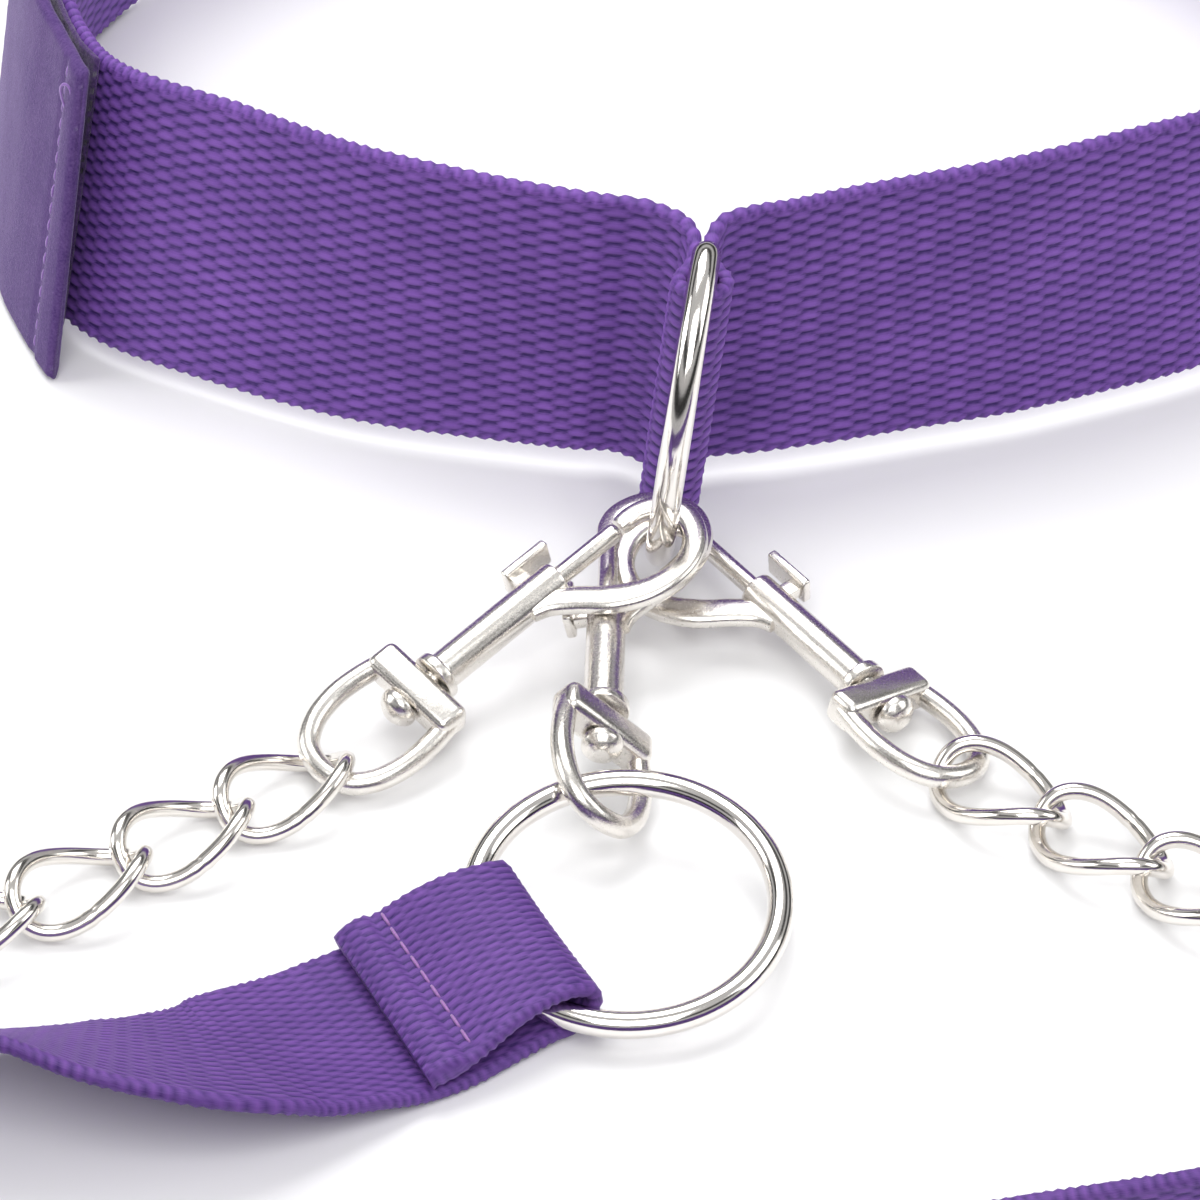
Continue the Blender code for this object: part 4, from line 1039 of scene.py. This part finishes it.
FULL = [(-68.5, 131.5), (-72.9, 123.0), (-75.4, 117.0), (-76.55, 112.8)] + FLAP_PATH[1:]
ANCHOR_L = sum(math.dist(a, b) for a, b in zip(FULL[:3], FULL[1:4]))
def full_off(s):
    L = s[-1] - ANCHOR_L
    f = np.clip((s - ANCHOR_L) / L, 0, 1)
    rise = np.clip(f / 0.12, 0, 1)
    tip = np.clip((f - 0.80) / 0.20, 0, 1)
    return GAP + (2 * GAP + 2 * PAD_T) * rise * rise * (3 - 2 * rise) + 2.6 * tip * tip
def flap_bulge(S, U):
    L = S.max()
    hem = np.clip(1 - np.abs(S - (L - 2.0)) / 2.6, 0, 1)            # folded hem at the free end
    line = np.exp(-((S - (L - 5.2)) / 0.55) ** 2)                    # the seam pulls a groove
    edge = np.exp(-((U - 1.6) / 0.7) ** 2) + np.exp(-((U - (FLAP_H - 1.6)) / 0.7) ** 2)
    return 0.35 * np.sqrt(hem) - 0.30 * line - 0.10 * edge + 0.10 * np.sin(S * 0.31 + U * 0.17) * 0.6
flap, fs, fQ, fN, fplace = soft_strip("closure_flap_cloth", FULL, 0.7, full_off, FLAP_T, 0.5, 0.5 + FLAP_H, M_VELVET, 0.018, 5, flap_bulge, None, 0.8)
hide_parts("closure_flap_anchor", "closure_flap")
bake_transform(flap)

def flap_pt(sv, up, out):
    i = int(np.argmin(np.abs(fs - sv)))
    U = np.full((len(fs), 1), up)
    R = fplace(U, np.full((len(fs), 1), out))
    return R[i, 0], fN[i]
FL = fs[-1]
hem_pts, hem_n = [], []
for u in np.linspace(1.5, FLAP_H - 0.8, 40):
    p, n = flap_pt(FL - 5.2, 0.5 + u, FLAP_T - 0.28)
    hem_pts.append(p); hem_n.append(n)
thread_run("flap_hem_stitching", hem_pts, hem_n, 0.2, 2.0, 0.45, M_THREAD, "closure_flap")

# the small loop of thread at the hem's upper end
lp, ln = flap_pt(FL - 2.6, 0.5 + FLAP_H - 5.0, FLAP_T + 0.35)
lp = Vector(lp); ln = Vector(ln)
lt_ = Vector((0, 0, 1))
ls_ = ln.cross(lt_).normalized()
loopP = [lp + lt_ * (2.6 * cos(a)) + ls_ * (0.9 * sin(a)) + ln * (0.25 * sin(2 * a)) for a in [2 * pi * k / 40 for k in range(40)]]
lo_me = tube(loopP, 0.19, 8, closed=True, up0=tuple(ln))
lo_ob = quick_mesh("flap_thread_loop", [tuple(v.co) for v in lo_me.vertices], [tuple(p.vertices) for p in lo_me.polygons])
dress(lo_ob, M_THREAD, "closure_flap")

# loop pile on the collar: base cloth and standing fibres
def fibres(name, path, off, zlo_f, zhi_f, count, length, r, mat, body, seed, curl=0.5):
    rng = np.random.default_rng(seed)
    s, Q, N, place = strip_place(path, 0.5, off, 0)
    V, T = [], []
    n = len(s)
    for _ in range(count):
        i = int(rng.integers(1, n - 1))
        f = i / (n - 1)
        up = rng.uniform(zlo_f(f), zhi_f(f))
        h = up - z_low(Q[i][1])
        li = lean_in(Vector(Q[i]))
        p = Q[i] + N[i] * ((off if not callable(off) else off(s)[i]) - li * h / BAND_H)
        p = np.array([p[0], p[1], up])
        t = np.array([-N[i][1], N[i][0], 0.0])
        z = np.array([0, 0, 1.0])
        g = rng.uniform(0, 2 * pi)
        side = t * cos(g) + z * sin(g)
        lean = t * rng.normal(0, curl) + z * rng.normal(0, curl)
        L = length * rng.uniform(0.6, 1.1)
        a, b2 = p - side * r, p + side * r
        m1 = p + (N[i] + lean * 0.5) * L * 0.55
        m2 = p + (N[i] * 0.75 + lean) * L
        k = len(V)
        V += [a, b2, m1 + side * r * 0.8, m1 - side * r * 0.8, m2]
        T += [(k, k + 1, k + 2), (k, k + 2, k + 3), (k + 3, k + 2, k + 4)]
    ob = quick_mesh(name, np.array(V), None, True, T)
    dress(ob, mat, body)
    return ob

loop_ob, *_r = soft_strip("loop_strip_cloth", PAD_PATH, 0.8, GAP, PAD_T * 0.8, 2.6, 41.0, M_LOOP, 0.05, 8, None, None, 0.8)
dress(loop_ob, M_LOOP, "collar", ["loop_strip"])
fibres("loop_strip_pile", PAD_PATH, GAP + PAD_T * 0.6, lambda f: 3.0, lambda f: 40.8, 5200, 0.5, 0.06, M_LOOP, "collar", 21, 0.9)
HOOK_PATH2 = [(-78.75, 101.0), (-78.9, 95.0), (-78.4, 83.0), (-76.6, 70.0), (-74.0, 60.5)]
hook_ob, hs, hQ, hN, hplace = soft_strip("hook_strip_tape", HOOK_PATH2, 0.8, 2 * GAP + PAD_T + 0.30, PAD_T - 0.30, 3.0, 39.5, M_HOOK, 0.01, 9, None, None, 0.9)
dress(hook_ob, M_HOOK, "closure_flap", ["hook_strip"])
# little moulded hooks on its inner face
V, Q4 = [], []
for i in range(2, len(hs) - 2, 2):
    for j, up in enumerate(np.arange(4.2, 38.6, 1.35)):
        uu = up + (0.65 if (i // 2) % 2 else 0.0)
        h = uu - z_low(hQ[i][1])
        li = lean_in(Vector(hQ[i]))
        base = hQ[i] + hN[i] * (2 * GAP + PAD_T + 0.32 - li * h / BAND_H)
        base = np.array([base[0], base[1], uu])
        t = np.array([-hN[i][1], hN[i][0], 0.0]); z = np.array([0, 0, 1.0])
        k = len(V)
        for d_, w_, sh_ in ((0.0, 0.17, 0.0), (0.16, 0.12, 0.04), (0.26, 0.16, 0.16), (0.20, 0.06, 0.30)):
            c = base - hN[i] * d_ + z * sh_
            for a, b in ((-1, -1), (1, -1), (1, 1), (-1, 1)):
                V.append(c + t * a * w_ + z * b * w_ * 0.7)
        for q in range(3):
            for a in range(4):
                b = (a + 1) % 4
                Q4.append((k + q * 4 + a, k + q * 4 + b, k + (q + 1) * 4 + b, k + (q + 1) * 4 + a))
        Q4.append((k + 12, k + 13, k + 14, k + 15))
hk = quick_mesh("hook_strip_hooks", np.array(V), Q4)
dress(hk, M_HOOK, "closure_flap")

# ---- metal ---------------------------------------------------------------------------------------------------------------------
def fine_obj(name, me, M=None):
    """Object from a millimetre mesh in local snap coordinates."""
    m = me.copy()
    if M is not None:
        m.transform(M)
    for v in m.vertices:
        v.co = Vector(v.co) * MM + SH
    m.name = name
    ob = bpy.data.objects.new(name, m)
    bpy.context.scene.collection.objects.link(ob)
    return ob

def shade(me, angle=38):
    bm = bmesh.new()
    bm.from_mesh(me)
    bmesh.ops.recalc_face_normals(bm, faces=bm.faces)
    if bm.calc_volume(signed=True) < 0:
        bmesh.ops.reverse_faces(bm, faces=bm.faces)
    for f in bm.faces:
        f.smooth = True
    for e in bm.edges:
        e.smooth = not (len(e.link_faces) == 2 and e.calc_face_angle(0.0) > radians(angle))
    bm.to_mesh(me)
    bm.free()
    return me

def rounded_box(lo, hi, r, seg=3):
    me = box(lo, hi)
    bm = bmesh.new()
    bm.from_mesh(me)
    bmesh.ops.recalc_face_normals(bm, faces=bm.faces)
    bmesh.ops.bevel(bm, geom=list(bm.edges), offset=r, segments=seg, affect='EDGES', profile=0.5)
    bm.to_mesh(me)
    bm.free()
    return me

def rounded_rows(rows, r, seg=4):
    """Fillets the corners of a (u, radius) profile."""
    out = [rows[0]]
    for a, b, c in zip(rows, rows[1:], rows[2:]):
        A, B, C = Vector((*a, 0)), Vector((*b, 0)), Vector((*c, 0))
        l1, l2 = (A - B).length, (C - B).length
        rr = min(r, l1 * 0.45, l2 * 0.45)
        if rr < 0.01:
            out.append(b)
            continue
        p, q = B + (A - B).normalized() * rr, B + (C - B).normalized() * rr
        for k in range(seg + 1):
            t = k / seg
            x = p.lerp(B, t).lerp(B.lerp(q, t), t)
            out.append((x.x, x.y))
    out.append(rows[-1])
    return out

def fine_hook(g=HOOK_SWELL):
    # broad crescent leaving the barrel, narrowing round the end to the seat of the bolt
    push = [(0, 0), (-0.4, 0.4), (-0.6, 1.0), (-0.4, 0.95), (-0.3, 1.05), (0, 0.6), (0, 0.1), (0, 0)]
    path = [(u + g * du, v + g * dv) for (u, v), (du, dv) in zip(HOOK_PATH, push)] + HOOK_PATH[8:]
    P = resample(catmull([(u, v, 0.0) for u, v in path], 8), 0.55)
    def sec(i, m):
        f = i / (m - 1)
        swell = max(0.0, 1 - abs(f - 0.26) / 0.23) ** 0.8
        rad = 1.55 + 0.25 * max(0.0, 1 - f / 0.2) + 0.75 * g * swell - 0.3 * max(0.0, (f - 0.75) / 0.25)
        tip = min(1.0, max(0.0, 1 - f) / 0.02)
        return (rad * (0.82 + 0.18 * tip), SN_HOOK_H * (0.85 + 0.15 * tip))
    # squarish cast section with soft corners
    n = len(P)
    T = tangents(P, False)
    sides = 24
    verts, faces = [], []
    for i in range(n):
        Sd = Vector((0, 0, 1)).cross(T[i]).normalized()
        w, h = sec(i, n)
        for k in range(sides):
            a = 2 * pi * (k + 0.5) / sides
            ex = 0.72
            x = math.copysign(abs(cos(a)) ** ex, cos(a)) * w
            y = math.copysign(abs(sin(a)) ** ex, sin(a)) * h
            verts.append(P[i] + Sd * x + Vector((0, 0, 1)) * y)
    for i in range(n - 1):
        for k in range(sides):
            l = (k + 1) % sides
            faces.append((i * sides + k, i * sides + l, (i + 1) * sides + l, (i + 1) * sides + k))
    faces.append(tuple(range(sides - 1, -1, -1)))
    faces.append(tuple((n - 1) * sides + k for k in range(sides)))
    hook = mesh_from(verts, faces)
    rows = [(-SN_GATE + 0.02, 1.4), (-SN_GATE, SN_BARREL_R - 0.05), (-SN_GATE - 0.35, SN_BARREL_R), (SN_BARREL_END + 0.2, SN_BARREL_R),
            (SN_BARREL_END, SN_BARREL_R - 0.12), (SN_BARREL_END - 0.1, SN_FLANGE_R), (SN_FLANGE_END, SN_FLANGE_R), (SN_FLANGE_END - 0.02, SN_POST_R),
            (SN_HEAD[0], SN_POST_R), (SN_HEAD[0] - 0.02, 2.5), (SN_HEAD[0] - 0.9, 2.45), (SN_HEAD[1] + 0.5, 1.8), (SN_HEAD[1], 0.9), (SN_HEAD[1] - 0.02, 0.2)]
    barrel = lathe(rounded_rows(rows, 0.28, 3), 40)
    bore = cylinder(-22.9, -SN_GATE + 1.6, SN_BORE_R, SN_BORE_R, 32)
    slot = rounded_box((-15.4, -4.0, -0.95), (-6.5, -0.3, 0.95), 0.3, 3)
    out = boolean(barrel, [('UNION', hook), ('DIFFERENCE', bore), ('DIFFERENCE', slot)])
    return shade(out, 32)

def fine_bolt():
    rod = lathe(rounded_rows([(-11.6, 0.3), (-11.6, SN_BOLT_R), (SN_GATE - 0.9, SN_BOLT_R), (SN_GATE - 0.25, 0.85), (SN_GATE - 0.22, 0.2)], 0.2, 3), 32)
    stem = rounded_box((-9.0, -4.2, -0.75), (-6.9, -0.55, 0.75), 0.18, 2)
    pad = rounded_box((-9.5, -5.1, -1.7), (-2.6, -3.85, 1.7), 0.38, 4)
    cuts = []
    for k in range(4):
        u = -8.4 + 1.5 * k
        c = cylinder(-2.2, 2.2, 0.30, 0.30, 12)
        c.transform(Matrix.Translation((u, -5.22, 0)) @ Matrix.Rotation(radians(90), 4, 'Y'))
        cuts.append(('DIFFERENCE', c))
    return shade(boolean(rod, [('UNION', stem), ('UNION', pad)] + cuts), 32)

def fine_spring():
    P = []
    coils, per = 3, 28
    u0, u1 = -22.35, -18.35
    for i in range(coils * per + 1):
        a = 2 * pi * i / per
        P.append(Vector((u0 + (u1 - u0) * i / (coils * per), 0.98 * cos(a), 0.98 * sin(a))))
    return shade(sweep(P, 10, lambda i, n: (0.24, 0.24), False, (1, 0, 0)), 50)

def fine_eye():
    bar = rounded_box((SN_YOKE[1], -SN_YOKE_W, -2.1), (SN_YOKE[0], SN_YOKE_W, 2.1), 1.15, 5)
    pts = [(-28.0, -5.55), (-31.5, -6.15), (-35.5, -6.25), (-39.3, -5.35), (-41.9, -3.5), (-42.85, -1.2)]
    pts = pts + [(u, -v) for u, v in reversed(pts)]
    P = resample(catmull([(u, v, 0) for u, v in pts], 8), 0.6)
    bow = sweep(P, 24, lambda i, n: (SN_EYE_WIRE * 0.95, SN_EYE_WIRE * 0.95), False, (0, 0, 1))
    hole = cylinder(SN_YOKE[1] - 1, SN_YOKE[0] + 1, SN_YOKE_HOLE, SN_YOKE_HOLE, 32)
    return shade(boolean(bar, [('UNION', bow), ('DIFFERENCE', hole)]), 30)

FINE = {"hook": fine_hook(), "bolt": fine_bolt(), "spring": fine_spring(), "eye": fine_eye()}
def dress_snap(tag, M, roll):
    Re = M @ Matrix.Rotation(radians(roll), 4, 'X')
    for part, mat, slot_name, L in (("hook", M_CAST, "cast_nickel", M), ("bolt", M_CAST, "cast_nickel", M), ("spring", M_SPRING, "spring_wire", M), ("eye", M_CAST, "cast_nickel", Re)):
        node = {"hook": "snap_%s_hook_body", "bolt": "snap_%s_bolt", "spring": "snap_%s_spring", "eye": "snap_%s_swivel_eye"}[part] % tag
        body = {"hook": "snap_%s_body", "bolt": "snap_%s_bolt", "spring": "snap_%s_body", "eye": "snap_%s_eye"}[part] % tag
        ob = fine_obj(node + "_fine", FINE[part], L)
        dress(ob, mat, body, [node])
for tag, (M, roll) in SNAPS.items():
    dress_snap(tag, M, roll)
dress_snap("left_end", MEL, MEL_ROLL)
dress_snap("right_end", MER, MER_ROLL)

# D-ring, O-ring
def closed_fine(P, step):
    P = list(P)
    n = len(P)
    Q = catmull(P, 8, closed=True)
    return resample(Q, step, closed=True)
dp = dring_loop()
dme = shade(tube(closed_fine(dp, 0.7), DR_R, 28, closed=True, up0=DR_U.cross(DR_F)), 60)
dress(fine_obj("d_ring_fine", dme), M_RING, "d_ring", ["d_ring"])
ome = shade(tube([oring_point(360 * k / 180) for k in range(180)], OR_WIRE * 0.97, 28, closed=True, up0=(0, 0, 1)), 60)
dress(fine_obj("o_ring_fine", ome), M_RING, "o_ring", ["o_ring"])

# chain links: round twisted wire with a butt weld on one long side
def fine_link():
    a = (LINK_IN + 2 * LINK_WIRE) / 2.0
    n = 96
    P = []
    for k in range(n):
        t = 2 * pi * k / n
        e = 0.86
        x = a * math.copysign(abs(cos(t)) ** e, cos(t))
        y = LINK_HALF_W * math.copysign(abs(sin(t)) ** e, sin(t))
        r = radians(LINK_TWIST / 2) * x / a
        P.append(Vector((x, y * cos(r), y * sin(r))))
    P = resample(P, 0.45, closed=True)
    m = len(P)
    k0 = min(range(m), key=lambda i: abs(P[i].x - 1.2) + (0 if P[i].y > 0 else 99))
    def sec(i, _n):
        d = min(abs(i - k0), m - abs(i - k0)) * 0.45
        w = LINK_WIRE * 0.965 - 0.05 * max(0.0, 1 - d / 0.5) + 0.03 * max(0.0, 1 - abs(d - 0.9) / 0.5)
        return (w, w)
    return shade(sweep(P, 18, sec, True, (0, 0, 1)), 60)
FLINK = fine_link()
for tag, mats in (("left", LM), ("right", RM)):
    for i, M in enumerate(mats):
        node = "chain_%s_link_%d" % (tag, i + 1)
        dress(fine_obj(node + "_fine", FLINK, M), M_CHAIN, node, [node])

# ---- lead ---------------------------------------------------------------------------------------------------------------------------
LP, LW, LN, LHW = lead_frames()
ls, LQ, (lw, ln2, lhw) = dense(LP, 0.6, [LW, LN, LHW])
lw /= np.linalg.norm(lw, axis=1, keepdims=True)
lt2 = np.gradient(LQ, axis=0)
lt2 /= np.linalg.norm(lt2, axis=1, keepdims=True)
lw -= lt2 * (lw * lt2).sum(1, keepdims=True)
lw /= np.linalg.norm(lw, axis=1, keepdims=True)
ln2 = np.cross(lw, lt2)
def lead_extra(S, A, face):
    """The cut end is turned under, so the first few millimetres stand up as a ridge."""
    hem = np.sqrt(np.clip(1 - ((S - 2.3) / 2.4) ** 2, 0, 1))
    seam = np.exp(-((S - 6.2) / 0.5) ** 2)
    return (1.25 * hem - 0.22 * seam) * np.clip(face * LEAD_UP, 0, 1)
def lead_place(i, a, t):
    return LQ[i][:, None, :] + lw[i][:, None, :] * a[..., None] + ln2[i][:, None, :] * t[..., None]
LEAD_UP = 1.0 if ln2[3][2] > 0 else -1.0
lead = woven("lead_webbing", ls, lead_place, LEAD_W, LEAD_T, M_LEAD, 0.34, 0.16, lead_extra, (lhw[:, 0] / (LEAD_W / 2)), 0.24, 1.22, 1.75)
dress(lead, M_LEAD, "lead", ["lead_strap"])
i6 = int(np.argmin(np.abs(ls - 6.2)))
hw6 = lhw[i6, 0]
seam_pts = [LQ[i6] + lw[i6] * a + ln2[i6] * LEAD_UP * (LEAD_T / 2 - 0.05) for a in np.linspace(-hw6 + 0.8, hw6 - 0.8, 40)]
seam_ob = thread_run("lead_end_stitching", seam_pts, [ln2[i6] * LEAD_UP] * 40, 0.19, 2.1, 0.35, M_THREAD_PINK, "lead")
# stitches of the handle's join, on its outer layer
for k, back in enumerate((4.0, 18.0)):
    i = int(np.argmin(np.abs(ls - (ls[-1] - back))))
    for face in (-1.0, 1.0):
        pts = [LQ[i] + lw[i] * a + ln2[i] * face * (LEAD_T / 2 + 0.02) for a in np.linspace(-10.6, 10.6, 40)]
        thread_run("handle_stitching_%d_%s" % (k + 1, "a" if face < 0 else "b"), pts, [ln2[i] * face] * 40, 0.24, 2.3, 0.5, M_THREAD_PINK, "lead")

# ---- setting ---------------------------------------------------------------------------------------------------------------------
fl = bpy.data.meshes.new("floor")
fl.from_pydata([(-4, -4, -0.0001), (4, -4, -0.0001), (4, 4, -0.0001), (-4, 4, -0.0001)], [], [(0, 1, 2, 3)])
floor = bpy.data.objects.new("floor", fl)
bpy.context.scene.collection.objects.link(floor)
fm, fnt, fb = new_mat("floor_mat")
fb.inputs["Base Color"].default_value = (0.86, 0.86, 0.86, 1)
fb.inputs["Roughness"].default_value = 0.9
fb.inputs["Specular IOR Level"].default_value = 0.0
fl.materials.append(fm)

def area(name, loc, target, size, power, col=(1, 1, 1), size_y=None):
    ld = bpy.data.lights.new(name, "AREA")
    ld.energy = power
    ld.size = size
    if size_y:
        ld.shape = "RECTANGLE"
        ld.size_y = size_y
    ld.color = col
    ob = bpy.data.objects.new(name, ld)
    bpy.context.scene.collection.objects.link(ob)
    ob.location = loc
    d = Vector(target) - Vector(loc)
    ob.rotation_euler = d.to_track_quat('-Z', 'Y').to_euler()
    return ob
area("key", (-0.13, 0.44, 1.02), (0, -0.03, 0), 0.72, KEY_POWER)
area("front", (0.05, -0.74, 0.98), (0, 0, 0.02), 0.8, FRONT_POWER)
area("side", (-0.9, 0.0, 0.5), (0, 0, 0.02), 0.5, SIDE_POWER)
area("right", (0.85, -0.12, 0.62), (-0.03, 0.03, 0.02), 0.55, 2.2)

w = bpy.data.worlds.new("studio")
bpy.context.scene.world = w
w.use_nodes = True
wn = w.node_tree
bg = wn.nodes["Background"]
tc = wn.nodes.new("ShaderNodeTexCoord")
sx = wn.nodes.new("ShaderNodeSeparateXYZ")
wn.links.new(tc.outputs["Generated"], sx.inputs[0])
cr = wn.nodes.new("ShaderNodeValToRGB")
wn.links.new(sx.outputs["Z"], cr.inputs["Fac"])
e = cr.color_ramp.elements
e[0].position, e[0].color = 0.0, (0.95, 0.95, 0.955, 1)
e[1].position, e[1].color = 1.0, (1.0, 1.0, 1.0, 1)
for pos, v in ((0.085, 0.95), (0.115, 0.04), (0.30, 0.05), (0.36, 0.80), (0.50, 1.0), (0.57, 0.10), (0.69, 0.08), (0.76, 1.0)):
    el = e.new(pos)
    el.color = (v, v, v * 1.01, 1)
wn.links.new(cr.outputs["Color"], bg.inputs["Color"])
bg.inputs["Strength"].default_value = WORLD_STRENGTH
bpy.context.scene.view_settings.view_transform = 'Standard'

cam_d = bpy.data.cameras.new("camera")
cam_d.lens = 134.94
cam_d.sensor_width = 36.0
cam = bpy.data.objects.new("camera", cam_d)
bpy.context.scene.collection.objects.link(cam)
cam.location = Vector((0.0, -0.4182, 0.3572)) + SH
cam.rotation_euler = (radians(49.5), 0, 0)
cam_d.clip_start = 0.01
bpy.context.scene.camera = cam

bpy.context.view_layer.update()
